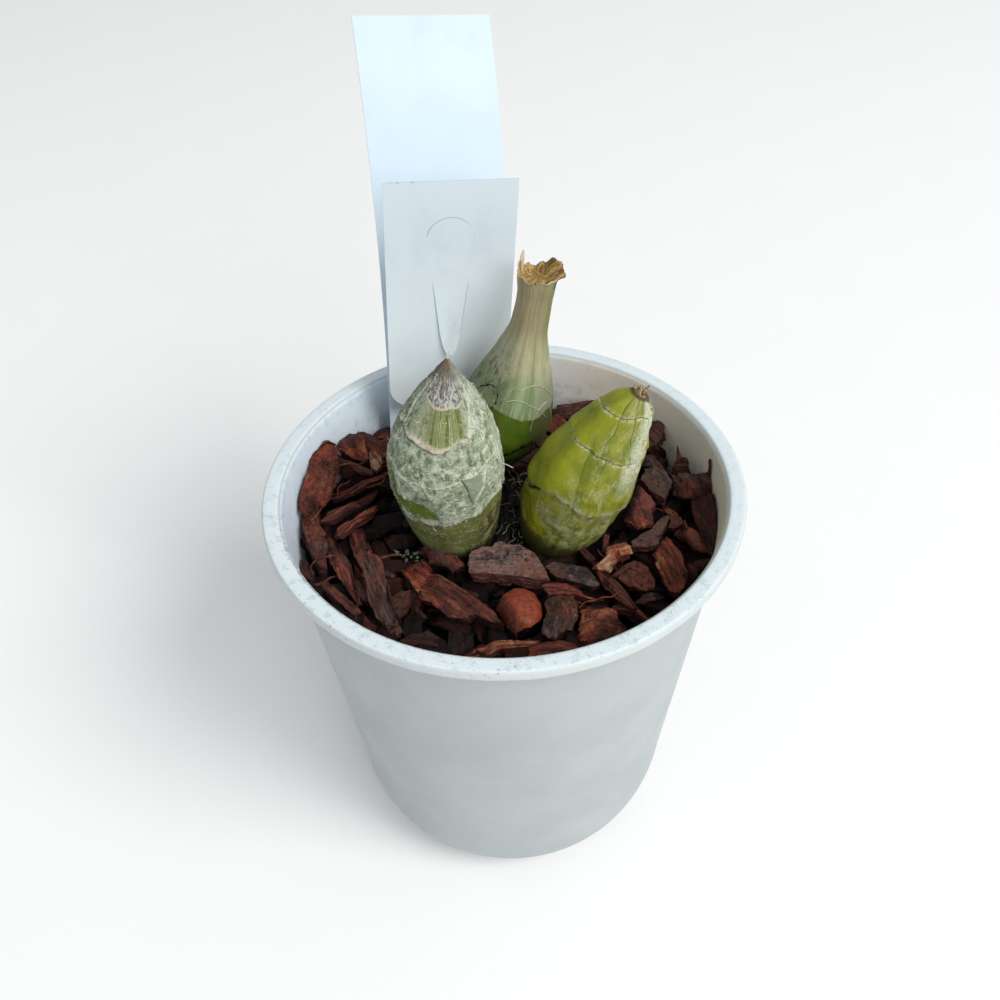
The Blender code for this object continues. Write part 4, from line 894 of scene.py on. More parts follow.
def barkMaterial():
    # Fibres and darker plates over each chip's own tone, red layers in its side, painted shade in its
    # crevices and pores, its ridges paler as wear and painted light, and pale specks as painted glints.
    material, start = newMaterial("pineBark")
    grain, tone, light, gloss, edge = readFields(start, "grain tone light gloss edge")
    relief, thread = readFields(start, "relief thread")
    fibres = noise(grain, (0.13, 1.4, 1.4), 6, 0.7, 0.7)
    threads = noise(grain, (0.35, 3.6, 3.6), 4, 0.65, 0.6)
    layers = noise(grain, (0.5, 0.5, 3), 4, 0.7, 0.6)
    patches = noise(grain, 0.2, 4, 0.6)
    mottle = noise(grain, 0.85, 6, 0.75)
    pores = noise(grain, 2.4, 4, 0.75)
    woven = mottle * (1 - 0.75 * thread) + fibres * (0.75 * thread)
    dull = 1 - gloss
    varied = 0.65 * (patches - 0.5) + 0.35 * (woven - 0.5) + 0.1 * relief
    shade = tone + varied * (0.3 + 0.7 * dull) - 0.06 * edge
    coat = Coat(start.node("ShaderNodeValToRGB", {"stops": bark["tones"]}, {0: shade}))
    red = paint(*bark["layers"], between(layers, 0.38, 0.62))
    coat(red, between(edge, 0.25, 0.7) * 0.8 * dull)
    # Painted shade: near black between the fibres, in the hollows of the relief and in the pores.
    coat(bark["creviceShade"], between(fibres, 0.48, 0.34) * (0.15 + 0.6 * thread) * dull)
    coat(bark["creviceShade"], between(relief, -0.2, -0.65) * (0.04 + 0.46 * dull))
    # The raised ridges are painted paler: wear, and painted light on the ridges.
    wornAndLitRidge = between(relief, 0.25, 0.75) * between(mottle, 0.42, 0.6)
    coat(bark["wornAndLitRidge"], wornAndLitRidge * 0.38 * dull)
    coat(bark["straw"], between(threads, 0.58, 0.7) * between(patches, 0.46, 0.6) * 0.5 * thread)
    coat(bark["creviceShade"], between(pores, 0.4, 0.32) * (0.6 - 0.56 * gloss - 0.35 * thread))
    # Each chip's lightness, partly painted shade, scales its colour.
    bright = light * (1 + (between(woven, 0.36, 0.64, 0.6, 1.48) - 1) * (1 - 0.35 * gloss))
    lit = start.node("ShaderNodeCombineColor", None, {0: bright, 1: bright, 2: bright})
    coat = Coat(start.node("ShaderNodeMix", {"data_type": "RGBA", "blend_type": "MULTIPLY"},
                           {0: 1, 6: coat, 7: lit}, output=2))
    # Pale specks as painted glints of moist bark.
    glintSpecks = between(noise(grain, 2.1, 3, 0.65), 0.64, 0.71) * between(patches, 0.4, 0.52)
    coat(bark["grain"], glintSpecks * between(light, 0.25, 0.75) * 0.45)
    roughness = 0.74 - 0.48 * gloss - 0.26 * between(patches, 0.5, 0.62) + 0.2 * (mottle - 0.5)
    rougher = (1 - 0.8 * gloss) * (1 - 0.65 * thread)
    bumps = (0.3 + 1.2 * thread) * fibres + 0.5 * threads * thread + (1.1 * mottle + 0.5 * pores) * rougher
    return finishMaterial(material, start, coat, roughness, bumps, 0.55, 0.2)


def fibrePatches():
    # Thin torn strands of bark that lie on the chips, most of them on the left.
    rng = np.random.default_rng(bark["seed"] + 2)
    patches = []
    for index in range(bark["strandCount"]):
        angle = math.radians(rng.uniform(120, 215) if index % 3 else rng.uniform(-100, 60))
        radius = rng.uniform(34, 49)
        start = (radius * math.cos(angle), radius * math.sin(angle), rng.uniform(*bark["strandHeight"]))
        path = curl(start, rng.uniform(0, math.tau), rng.uniform(5, 12), rng.uniform(-0.6, 0.8), rng)
        reach = np.hypot(path[:, 0], path[:, 1])[:, None]
        path[:, :2] *= np.minimum(bark["fillRadius"] / reach, 1)
        thin = rng.uniform(0.14, 0.38) * np.sqrt(np.sin(np.linspace(0.15, 2.95, len(path))))
        patches.append(tubePatch(path, thin, 5, grain=path[:, None], tone=rng.uniform(0.35, 0.6),
                                 light=rng.uniform(0.7, 1), edge=0, relief=0, gloss=0, thread=1))
    return patches


def makeBark():
    material = barkMaterial()
    placed = [chipPatch(chip, corners, bark["spacing"], 100 + index)
              for index, (chip, corners) in enumerate(placedChips())]
    small = crumbChips() + fibrePatches() + [groundPatch()]
    for name, patches in (("bark_chips_front", placed[::2]), ("bark_chips_sides", placed[1::2]),
                          ("bark_chips_under", fillChips()), ("bark_crumbs", small)):
        piece = addPiece(name, patches, material, ["bark_bed"])
        piece.data.set_sharp_from_angle(angle=math.radians(bark["edgeAngle"]))


# Pseudobulbs. A place on one is a share of its length, from the bark at 0 to the tip at 1, and an
# angle round it, 0 on the -Y side and growing towards +X.

frontBulb = {
    "base": (-12.6, -1.9, 106.0),
    "tip": (-11.4, -2.8, 160.3),
    "bow": -1.7,
    # The radius by share, and further down each ring's share by angle.
    "profile": [(-0.2, 2.2), (-0.14, 6.2), (0.0, 9.9), (0.12, 11.6), (0.25, 12.9), (0.45, 13.6),
        (0.62, 11.9), (0.8, 7.6), (0.92, 3.0), (0.985, 0.8), (1.0, 0.3)],
    "rows": 230,
    "columns": 250,
    "capEdge": [(-180, 0.86), (-120, 0.87), (-72, 0.905), (-48, 0.87), (-28, 0.838), (0, 0.829), (26, 0.832),
        (46, 0.86), (70, 0.885), (120, 0.87)],
    "arc": [(-180, 0.7), (-120, 0.72), (-69, 0.733), (-51, 0.708), (-26, 0.693), (-6, 0.683), (12, 0.7),
        (32, 0.716), (52, 0.743), (70, 0.761), (120, 0.74)],
    "paleRing": [(-180, 0.53), (-120, 0.54), (-69, 0.542), (-56, 0.528), (-42, 0.51), (-22, 0.505),
        (-3, 0.512), (10, 0.527), (23, 0.548), (44, 0.559), (64, 0.578), (120, 0.56)],
    "flakyRing": [(-180, 0.3), (-120, 0.33), (-60, 0.322), (-49, 0.266), (-24, 0.277), (1, 0.276),
        (21, 0.311), (38, 0.325), (54, 0.361), (120, 0.34)],
    "capScale": 54.0,
    "crack": [(16, 0.556), (20, 0.51), (23, 0.472), (27, 0.384)],
    "folds": [[(-75, 0.905), (-72, 0.854), (-71, 0.8), (-69, 0.735)], [(33, 0.716), (46, 0.78), (58, 0.86)],
        [(-2, 0.6), (8, 0.578), (16, 0.552)], [(-58, 0.54), (-50, 0.47), (-44, 0.4)],
        [(-20, 0.5), (-14, 0.45)], [(30, 0.41), (41, 0.47), (47, 0.55)]],
    # Places where the chalk is rubbed off: angle, share, half-width in degrees, half-height, and how
    # much its middle rises over its half-width.
    "bare": [(-34, 0.35, 24, 0.042, -0.018), (-62, 0.38, 8, 0.11, -0.03), (150, 0.45, 30, 0.08, 0.0),
        (-140, 0.52, 24, 0.07, 0.0)],
}
rightBulb = {
    "base": (12.5, -2.5, 106.0),
    "tip": (32.5, -2.8, 149.3),
    "bow": -0.6,
    "profile": [(-0.2, 2.4), (-0.14, 6.0), (0.0, 9.8), (0.12, 11.4), (0.25, 12.2), (0.45, 12.6),
        (0.62, 10.7), (0.8, 7.8), (0.92, 5.5), (0.965, 3.4), (0.985, 2.2)],
    "rows": 220,
    "columns": 250,
    "ringHigh": [(-180, 0.86), (-113, 0.847), (-74, 0.864), (-36, 0.877), (-13, 0.895), (19, 0.922),
        (68, 0.94), (120, 0.92)],
    "ringMiddle": [(-180, 0.67), (-92, 0.663), (-66, 0.671), (-41, 0.68), (-29, 0.679), (-7, 0.686),
        (21, 0.677), (32, 0.699), (54, 0.719), (120, 0.7)],
    "ringLow": [(-180, 0.3), (-90, 0.283), (-67, 0.325), (-46, 0.376), (-28, 0.377), (-8, 0.38), (11, 0.375),
        (30, 0.386), (51, 0.414), (110, 0.4)],
    # Lines through points of angle and share.
    "lines": [[(-40, 0.972), (-36, 0.923), (-24, 0.836), (-26, 0.765), (-21, 0.69)],
        [(3, 0.905), (17, 0.786), (29, 0.665)], [(-38, 0.68), (-32, 0.584), (-26, 0.515), (-17, 0.39)],
        [(-12, 0.685), (-8, 0.57), (-6, 0.474), (-1, 0.38)], [(52, 0.93), (60, 0.81), (58, 0.7)],
        [(40, 0.7), (46, 0.55), (38, 0.4)], [(92, 0.9), (100, 0.7)], [(100, 0.69), (112, 0.5), (104, 0.4)],
        [(150, 0.68), (142, 0.5), (150, 0.36)], [(-130, 0.67), (-124, 0.5), (-132, 0.3)],
        [(-100, 0.85), (-92, 0.67)], [(-150, 0.86), (-158, 0.68)]],
    "notch": [(-68, 0.318), (-76, 0.29), (-90, 0.235), (-104, 0.21)],
}
backBulb = {
    "base": (-5.2, 24.0, 106.0),
    "tip": (10.1, 23.8, 164.8),
    "bow": 1.9,
    "profile": [(-0.13, 2.0), (-0.08, 4.5), (0.0, 6.4), (0.12, 9.2), (0.21, 11.8), (0.3, 12.7), (0.4, 11.7),
        (0.5, 9.8), (0.65, 6.6), (0.78, 4.4), (0.9, 4.1), (0.965, 4.6), (0.995, 4.8)],
    "rows": 230,
    "columns": 230,
    "bandTop": [(-180, 0.55), (-120, 0.56), (-65, 0.548), (-30, 0.53), (-8, 0.553), (19, 0.548), (52, 0.54),
        (68, 0.555), (120, 0.56)],
    "brightTop": [(-180, 0.42), (-100, 0.44), (-45, 0.44), (-17, 0.429), (-3, 0.42), (13, 0.413),
        (33, 0.415), (51, 0.433), (110, 0.44)],
    # How high the torn neck's edge stands, by angle.
    "neck": [(-180, 0.2), (-160, 0.0), (-135, 0.2), (-105, 0.9), (-80, 1.1), (-50, 0.1), (-30, 0.0),
        (0, 0.4), (40, 1.2), (72, 1.9), (92, 1.7), (112, 2.2), (137, 4.0), (158, 1.2)],
    # How far the stub in the torn neck lies below its edge.
    "sink": 0.9,
}


def bulbAxes(bulb):
    # The base, the whole span, and unit vectors along it, towards -Y and towards +X.
    base = np.array(bulb["base"])
    span = np.array(bulb["tip"]) - base
    along = unit(span)
    front = np.array((0, -1, 0))
    front = unit(front - along * front.dot(along))
    return base, span, along, front, np.cross(along, front)


def bulbPlace(bulb, share, degrees, radius):
    # The axis, bowed sideways by 4t(1 - t), plus the radius in the direction of the angle.
    base, span, _, front, right = bulbAxes(bulb)
    share = np.asarray(share, float)[..., None]
    angle = np.radians(degrees)[..., None]
    bow = np.clip(4 * share * (1 - share), -1, 1) * np.array((bulb["bow"], 0, 0))
    out = front * np.cos(angle) + right * np.sin(angle)
    return base + span * share + bow + out * np.asarray(radius)[..., None]


def bulbGrid(bulb):
    # Shares up the bulb, closer towards its tip, and angles round it, closer on the -Y side.
    start = bulb["profile"][0][0]
    end = bulb["profile"][-1][0]
    turn = np.linspace(-math.pi, math.pi, bulb["columns"], endpoint=False)
    degrees = np.degrees(turn - 0.33 * np.sin(turn))
    part = np.linspace(0, 1, bulb["rows"])
    share = start + (end - start) * (0.12 * part + 0.88 * (1 - (1 - part) ** 1.25))
    return np.meshgrid(share, degrees, indexing="ij")


def bulbGrain(share, degrees):
    # A place that runs round the bulb as a circle and up it as a height, for patterns that follow it.
    return around(10, np.radians(degrees), 50 * share)


def bulbLength(bulb):
    # In millimetres, straight from the bark to the tip.
    return np.linalg.norm(np.array(bulb["tip"]) - np.array(bulb["base"]))


def ringGap(bulb, name, share, degrees, torn=0.35, grain=1.6):
    # The distance up or down to a ring, in millimetres, wandering a little as torn edges do.
    wander = roughNoise(bulbGrain(share * 0, degrees), grain, 11, 3)
    return (share - roundCurve(bulb[name], degrees)) * bulbLength(bulb) + torn * wander


def lineFields(bulb, lines, share, degrees):
    # The distance to the nearest of the lines given, each wobbling a little.
    length = bulbLength(bulb)
    radius = monotoneCurve(bulb["profile"], share)
    scale = math.pi / 180 * radius
    wobble = 0.3 * roughNoise(bulbGrain(share, degrees), 2.2, 13, 2)
    gap = np.full(share.shape, 1e3)
    for line in lines:
        for (angle0, share0), (angle1, share1) in zip(line[:-1], line[1:]):
            run = ((angle1 - angle0) * scale, (share1 - share0) * length)
            away = ((degrees - angle0) * scale + wobble, (share - share0) * length)
            part = np.clip((away[0] * run[0] + away[1] * run[1]) / (run[0] ** 2 + run[1] ** 2), 0, 1)
            gap = np.minimum(gap, np.hypot(away[0] - run[0] * part, away[1] - run[1] * part))
    return gap


def ridge(gap, width):
    # A hump over a line: e^-(gap / width)^2.
    return np.exp(-(gap / width) ** 2)


def frontBulbPatch():
    # Radius by height, with shallow ribs, raised torn edges at the rings, flakes and a wrinkled cap.
    share, degrees = bulbGrid(frontBulb)
    grain = bulbGrain(share, degrees)
    jag = 0.01 * roughNoise(grain, (1.3, 1.3, 4), 5, 3)
    edgeShare = roundCurve(frontBulb["capEdge"], degrees)
    capShare = share + 0.007 * roughNoise(grain * (1, 1, 0.3), 2.6, 8, 3)
    cap = smoothStep(capShare, edgeShare - 0.004, edgeShare + 0.004)
    arcGap = ringGap(frontBulb, "arc", share, degrees, 0.3, 3.2)
    paleGap = ringGap(frontBulb, "paleRing", share, degrees)
    flakyGap = ringGap(frontBulb, "flakyRing", share, degrees)
    crackGap = lineFields(frontBulb, [frontBulb["crack"]], share, degrees)
    foldGap = lineFields(frontBulb, frontBulb["folds"], share, degrees)
    window = smoothStep(degrees + 900 * jag, -55, -42) * smoothStep(degrees + 700 * jag, 40, 30)
    patch = window * smoothStep(arcGap, -0.1, 0.5) * (1 - cap)
    torn = smoothStep(degrees, -74, -58) * smoothStep(degrees, 42, 31)
    # The torn edge is thickest in its middle.
    lipHalf = 0.2 + 0.46 * np.exp(-((degrees + 24) / 22) ** 2) + 0.1 * softNoise(grain, 2.4, 17)
    lip = torn * smoothStep(lipHalf - np.abs(arcGap + 0.1), -0.1, 0.14)
    bare = np.zeros(share.shape)
    for angle, middle, halfWidth, halfHeight, slope in frontBulb["bare"]:
        away = (degrees - angle) / halfWidth
        reach = np.hypot(away, (share - middle - slope * away) / halfHeight) + 40 * jag
        bare = np.maximum(bare, smoothStep(reach, 1.12, 0.8))
    below = smoothStep(flakyGap + 100 * jag, 0.2, -0.9)
    panel = smoothStep(degrees, 17, 22) * smoothStep(degrees + 900 * jag, 46, 38)
    panel = panel * smoothStep(share, 0.395, 0.41) * smoothStep(share, 0.545, 0.53)
    fade = np.sin(math.pi * np.clip(share, 0, 1)) ** 0.6
    radius = monotoneCurve(frontBulb["profile"], share)
    radius += 0.22 * fade * np.cos(np.radians(9 * degrees) + 2 * share)
    radius += 0.4 * lip + 0.12 * ridge(arcGap, 0.45)
    radius += 0.3 * smoothStep(arcGap, 0.3, -0.3) + 0.16 * ridge(paleGap, 0.3)
    radius += 0.14 * smoothStep(paleGap, 0.2, -0.2) - 0.3 * below + 0.25 * ridge(flakyGap, 0.4)
    radius = radius - 0.4 * ridge(crackGap, 0.2) + 0.22 * ridge(foldGap, 0.35)
    radius = radius - 0.16 * bare + 0.12 * cap * smoothStep(share, 0.99, 0.9)
    papery = roughNoise(grain, (0.8, 0.8, 1.2), 31, 3)
    flakes = roughNoise(grain, (1.3, 1.3, 1.3), 35, 3)
    lumps = roughNoise(grain, (3.2, 3.2, 4), 37, 2)
    whole = 1 - 0.75 * np.maximum(np.maximum(bare, below), np.maximum(panel, patch))
    radius += (0.12 * papery + 0.22 * np.maximum(flakes - 0.1, 0) + 0.12 * lumps) * fade * whole
    # Flakes that stand off the right shoulder.
    shoulder = smoothStep(np.abs(degrees - 62), 26, 8) * smoothStep(share, 0.62, 0.72)
    shoulder = shoulder * smoothStep(share, 0.95, 0.88)
    radius += 0.5 * shoulder * np.maximum(roughNoise(grain, (1.1, 1.1, 1.3), 43, 2), 0)
    wrinkles = roughNoise(grain * (1, 1, 0.3), 1.1, 39, 3)
    radius += 0.16 * wrinkles * cap * smoothStep(share, 1, 0.9)
    relief = (papery + np.maximum(flakes - 0.1, 0) * 1.6) * whole
    torn = np.abs(capShare - edgeShare) * frontBulb["capScale"]
    grid = bulbPlace(frontBulb, share, degrees, np.maximum(radius, 0.12))
    return gridPatch(grid, grain=grain, height=share, degrees=degrees, cap=cap, patch=patch, bare=bare,
                     below=below, panel=panel, lip=lip, relief=relief, arc=arcGap, pale=np.abs(paleGap),
                     flaky=np.abs(flakyGap), fold=foldGap, crack=crackGap, torn=torn)


def frontBulbMaterial():
    # A fine crumbly chalk crust over grey-green, with whitish flakes, dark cracks and specks, green
    # where rubbed bare, a striped patch and a dry cap.
    material, start = newMaterial("frontBulbSheath")
    grain, height, degrees, relief = readFields(start, "grain height degrees relief")
    cap, patch, bare, below, panel, lip = readFields(start, "cap patch bare below panel lip")
    arc, pale, flaky, fold, crack, torn = readFields(start, "arc pale flaky fold crack torn")
    left = between(degrees, -20, -78)
    right = between(degrees, 20, 66)
    blotch = noise(grain, 0.16, 4, 0.6)
    coarse = noise(grain, 0.5, 5, 0.7, 0.8)
    crust = noise(grain, 1.5, 6, 0.75, 0.5)
    fine = noise(grain, 3, 3, 0.7)
    wisps = noise(grain, (1.6, 1.6, 1.1), 5, 0.72, 1.8)
    stripes = noise(grain, (0.62, 0.62, 0.03), 3, 0.6)
    fineStripes = noise(grain, (2.4, 2.4, 0.16), 3, 0.6, 0.5)
    mixed = 0.8 * crust + 0.2 * coarse + 0.5 * (blotch - 0.5) + 0.06 * relief - 0.1 * left
    coat = Coat(paint((0.15, 0.185, 0.095), (0.385, 0.43, 0.315), between(mixed, 0.34, 0.58)))
    yellower = right * between(coarse, 0.4, 0.56) * between(height, 0.84, 0.66)
    coat((0.25, 0.3, 0.115), yellower * 0.8)
    coat((0.44, 0.5, 0.44), between(blotch, 0.5, 0.6) * between(crust, 0.42, 0.55) * 0.55)
    flakes = between(wisps + 0.08 * relief + 0.06 * right, 0.56, 0.62)
    coat((0.62, 0.65, 0.54), flakes * 0.85)
    cracks = scratches(grain, 1.3, 0.028, 2) * between(coarse, 0.58, 0.46)
    coat((0.05, 0.062, 0.03), cracks * 0.85)
    coat((0.06, 0.075, 0.038), between(relief, -0.3, -0.85) * 0.5)
    coat((0.215, 0.26, 0.185), panel * between(fine, 0.66, 0.5) * 0.75)
    specks = between(fine, 0.62, 0.68) * between(noise(grain, 0.3, 3, 0.6), 0.4, 0.56)
    coat((0.028, 0.032, 0.018), specks * 0.75)
    olive = paint((0.072, 0.115, 0.006), (0.14, 0.18, 0.02), between(coarse, 0.36, 0.62))
    coat(olive, bare * between(crust, 0.66, 0.58) * 0.97)
    yellow = between(0.5 * blotch + 0.5 * coarse, 0.42, 0.6)
    low = Coat(paint((0.105, 0.12, 0.016), (0.215, 0.225, 0.068), yellow))
    bands = height + 0.05 * (coarse - 0.5) + 0.1 * (blotch - 0.5)
    line = between(apart(bands, 0.205), 0.01, 0.003)
    lines = line + between(apart(bands, 0.135), 0.008, 0.002)
    low((0.42, 0.4, 0.28), lines * between(wisps, 0.49, 0.57) * 0.7)
    low((0.4, 0.41, 0.28), between(wisps, 0.57, 0.66) * between(height, 0.08, 0.2) * 0.7)
    coat(low, below * between(crust, 0.64, 0.56) * 0.97)
    # Dark brown low on the right: dry scraps, and painted shade where the pseudobulb meets the dark gap.
    brown = between(noise(grain, 0.38, 4, 0.7), 0.4, 0.54) * between(degrees, 24, 48)
    coat((0.045, 0.028, 0.016), brown * between(height, 0.33, 0.22) * 0.92)
    green = paint((0.1, 0.14, 0.014), (0.21, 0.23, 0.08), between(stripes, 0.42, 0.62))
    edges = scratches(grain, (0.62, 0.62, 0.03), 0.03, 0)
    striped = Coat(paint(green, (0.42, 0.42, 0.27), edges * between(fine, 0.34, 0.52) * 0.9))
    mottled = between(crust + 0.3 * (coarse - 0.5), 0.5, 0.6)
    side = between(apart(degrees, 1), 20, 31)
    mottled = mottled * (1 - side) + between(crust + 0.3 * (coarse - 0.5), 0.4, 0.52) * side
    striped((0.33, 0.35, 0.25), mottled * (0.35 + 0.55 * side))
    coat(striped, patch * 0.96)
    strands = between(0.3 * fineStripes + 0.7 * crust, 0.4, 0.58)
    dry = Coat(paint((0.06, 0.05, 0.038), (0.25, 0.235, 0.195), strands))
    pallid = between(coarse + 0.5 * (crust - 0.5), 0.46, 0.58) * between(height, 0.955, 0.9)
    dry((0.5, 0.51, 0.48), pallid * 0.85)
    dry((0.035, 0.03, 0.024), specks * 0.8)
    tip = between(height + 0.06 * (coarse - 0.5) + 0.03 * (crust - 0.5), 0.945, 0.99)
    dry((0.235, 0.125, 0.075), tip * 0.8)
    coat(dry, cap * (1 - 0.45 * right) * 0.97)
    darkLeft = left * between(height, 0.72, 0.84) * between(wisps, 0.56, 0.44)
    coat((0.085, 0.085, 0.055), darkLeft * 0.7)
    cream = paint((0.33, 0.27, 0.18), (0.56, 0.5, 0.38), between(crust, 0.36, 0.54))
    coat(cream, lip * 0.92)
    shadow = between(arc, -1.5, -0.95) * between(arc, -0.5, -0.8) * between(degrees, 6, -20)
    coat((0.05, 0.055, 0.03), shadow * between(degrees, -78, -60) * 0.6)
    ring = between(pale + 0.2 * (fine - 0.5), 0.26, 0.08) * between(wisps, 0.38, 0.48)
    coat((0.58, 0.6, 0.48), ring * 0.85)
    folded = between(fold + 0.4 * (fine - 0.5), 0.6, 0.18) * between(crust, 0.38, 0.5)
    coat((0.58, 0.59, 0.48), folded * 0.8)
    nearFront = between(degrees, -50, -32) * between(degrees, 34, 8)
    flaked = between(flaky + 0.9 * crust, 1 + 0.7 * nearFront, 0.5 + 0.4 * nearFront)
    flaked = flaked * between(coarse, 0.42, 0.54)
    coat((0.46, 0.4, 0.31), flaked * 0.75)
    coat((0.1, 0.055, 0.03), flaked * nearFront * between(crust, 0.52, 0.44) * 0.7)
    tornEdge = between(torn + 0.5 * (fine - 0.5), 0.4, 0.1) * between(right, 0.8, 0.1)
    coat((0.56, 0.49, 0.36), tornEdge * between(degrees, -58, -36) * 0.85)
    coat((0.03, 0.034, 0.018), between(crack, 0.22, 0.08) * 0.9)
    # Darker towards the base: soil, and painted shade where the pseudobulb meets the bark.
    soilAndShade = between(height + 0.12 * crust, 0.17, 0.07)
    coat((0.03, 0.024, 0.012), soilAndShade * 0.88)
    bumps = 0.8 * wisps + 1.1 * crust + 0.7 * fine * (1 - 0.6 * bare)
    roughness = 0.82 - 0.32 * bare - 0.3 * below
    return finishMaterial(material, start, coat, roughness, bumps, 0.26, 0.26)


def rightBulbPatch():
    # Radius by height, swollen between its rings, each sheath standing proud of the one below it.
    share, degrees = bulbGrid(rightBulb)
    grain = bulbGrain(share, degrees)
    high = ringGap(rightBulb, "ringHigh", share, degrees, 0.3, 2.8)
    middle = ringGap(rightBulb, "ringMiddle", share, degrees, 0.3, 2.8)
    low = ringGap(rightBulb, "ringLow", share, degrees, 0.4, 3.2)
    lines = lineFields(rightBulb, rightBulb["lines"], share, degrees)
    notch = lineFields(rightBulb, [rightBulb["notch"]], share, degrees)
    rings = np.minimum(np.minimum(np.abs(high), np.abs(middle)), np.abs(low))
    fade = np.sin(math.pi * np.clip(share, 0, 1)) ** 0.6
    overhang = 0.35 + 0.45 * smoothStep(degrees, 34, 6)
    radius = monotoneCurve(rightBulb["profile"], share)
    radius += 0.3 * fade * np.cos(np.radians(7 * degrees) + 2 * share)
    radius += overhang * smoothStep(low, -0.4, 0.4) * smoothStep(low, 7, 0.5) - 0.25
    radius += 0.35 * smoothStep(middle, -0.3, 0.3) * smoothStep(middle, 5, 0.4)
    radius += 0.18 * smoothStep(high, 0.3, -0.3) * smoothStep(high, -5, -0.4)
    radius = radius - 0.24 * ridge(rings, 0.22) - 0.16 * ridge(lines, 0.22) - 0.26 * ridge(lines, 1.7)
    radius = radius - 1.1 * ridge(notch, 0.55)
    radius += 0.5 * smoothStep(np.abs(degrees - 47), 16, 4) * smoothStep(share, 0.5, 0.72)
    lumps = roughNoise(grain, (5, 5, 7), 51, 3)
    lowest = smoothStep(low, 0.5, -0.5)
    radius += (0.3 + 0.3 * lowest) * lumps * smoothStep(share, 0, 0.12) * smoothStep(share, 0.95, 0.8)
    wrinkles = roughNoise(grain, (1.2, 1.2, 1.6), 53, 2)
    ridgeLine = smoothStep(np.abs(degrees - 38), 24, 6) * smoothStep(share, 0.46, 0.66)
    radius += (0.05 + 0.16 * ridgeLine) * wrinkles * smoothStep(share, 0, 0.1)
    tip = smoothStep(share, 0.972, 0.98)
    grid = bulbPlace(rightBulb, share, degrees, np.maximum(radius, 0.3))
    return gridPatch(grid, grain=grain, height=share, degrees=degrees, rings=rings, lines=lines, low=low,
                     tip=tip, notch=notch, ridgeLine=ridgeLine)


def rightBulbMaterial():
    # Waxy yellow-green, golden on the left, with thin dark rings, pale wax in blotches and flakes, and a
    # pale streak on the right ridge that is wax and painted highlight.
    material, start = newMaterial("rightBulbFlesh")
    grain, height, degrees, rings, lines = readFields(start, "grain height degrees rings lines")
    low, tip, notch, ridgeLine = readFields(start, "low tip notch ridgeLine")
    blotch = noise(grain, 0.13, 4, 0.55)
    fine = noise(grain, 1.6, 4, 0.7)
    drift = noise(stretch(grain, (0.8, 0.8, 0.45)), 0.5, 4, 0.6, 0.8)
    wax = noise(stretch(grain, (1, 1, 0.75)), 0.75, 6, 0.75, 1.4)
    warmer = between(blotch + 0.4 * (drift - 0.5), 0.4, 0.6)
    coat = Coat(paint((0.12, 0.155, 0.016), (0.222, 0.228, 0.018), warmer))
    golden = between(degrees, -4, -56) * between(low, -0.5, 0.8)
    coat((0.235, 0.255, 0.001), golden * between(blotch, 0.26, 0.52) * 0.95)
    shaded = between(low, 0.3, -0.6)
    coat((0.165, 0.175, 0.026), shaded * 0.6)
    lowLeft = shaded * between(degrees, -14, -50)
    coat((0.25, 0.25, 0.003), lowLeft * between(blotch, 0.32, 0.54) * 0.9)
    coat((0.085, 0.06, 0.01), lowLeft * between(drift, 0.56, 0.66) * 0.6)
    coat((0.28, 0.29, 0.115), between(drift, 0.48, 0.62) * (0.5 - 0.38 * golden))
    clouds = between(noise(grain, 0.3, 4, 0.65), 0.42, 0.6)
    whitish = between(wax, 0.55, 0.66) * clouds
    coat((0.43, 0.44, 0.29), whitish * (0.6 + 0.28 * shaded) * (1 - 0.7 * golden))
    coat((0.36, 0.38, 0.2), (shaded - lowLeft) * clouds * between(drift, 0.4, 0.52) * 0.75)
    rim = between(low, 3, 0.4) * between(low, -0.2, 0.2) * between(degrees, -56, -24)
    coat((0.4, 0.42, 0.26), rim * between(wax, 0.4, 0.54) * 0.8)
    # The pale streak on the right ridge is wax and painted highlight.
    waxAndHighlight = between(wax + 0.3 * (fine - 0.5), 0.32, 0.48)
    coat((0.5, 0.52, 0.37), ridgeLine * waxAndHighlight * 0.9)
    coat((0.115, 0.125, 0.035), ridgeLine * scratches(grain, 0.7, 0.03, 2) * 0.6)
    collar = between(rings, 1, 0.2) * between(wax + 0.3 * (fine - 0.5), 0.46, 0.56)
    coat((0.5, 0.49, 0.33), collar * 0.8)
    webs = scratches(grain, 0.45, 0.016, 1.2) * between(drift, 0.48, 0.6) * (1 - golden)
    coat((0.46, 0.46, 0.28), webs * 0.7)
    broken = between(drift + 0.4 * (fine - 0.5), 0.4, 0.52)
    ring = between(rings + 0.16 * (fine - 0.5), 0.17, 0.06) * (0.35 + 0.55 * broken)
    coat((0.05, 0.045, 0.014), ring)
    line = between(lines + 0.16 * (fine - 0.5), 0.15, 0.05) * (0.35 + 0.5 * broken)
    coat((0.062, 0.06, 0.012), line)
    coat((0.012, 0.013, 0.005), between(notch + 0.3 * (fine - 0.5), 0.55, 0.2) * 0.9)
    specks = between(fine, 0.66, 0.72) * between(blotch, 0.44, 0.56)
    coat((0.045, 0.045, 0.014), specks * 0.6)
    coat((0.06, 0.035, 0.02), tip * 0.9)
    # Darker towards the base: soil, and painted shade where the pseudobulb meets the bark.
    soilAndShade = between(height + 0.16 * wax + 0.05 * (drift - 0.5), 0.22, 0.11)
    coat((0.026, 0.024, 0.008), soilAndShade * 0.88)
    relief = 0.5 * drift + 0.4 * fine + 0.8 * wax
    roughness = 0.4 + 0.34 * whitish + 0.3 * tip
    return finishMaterial(material, start, coat, roughness, relief, 0.2, 0.3)


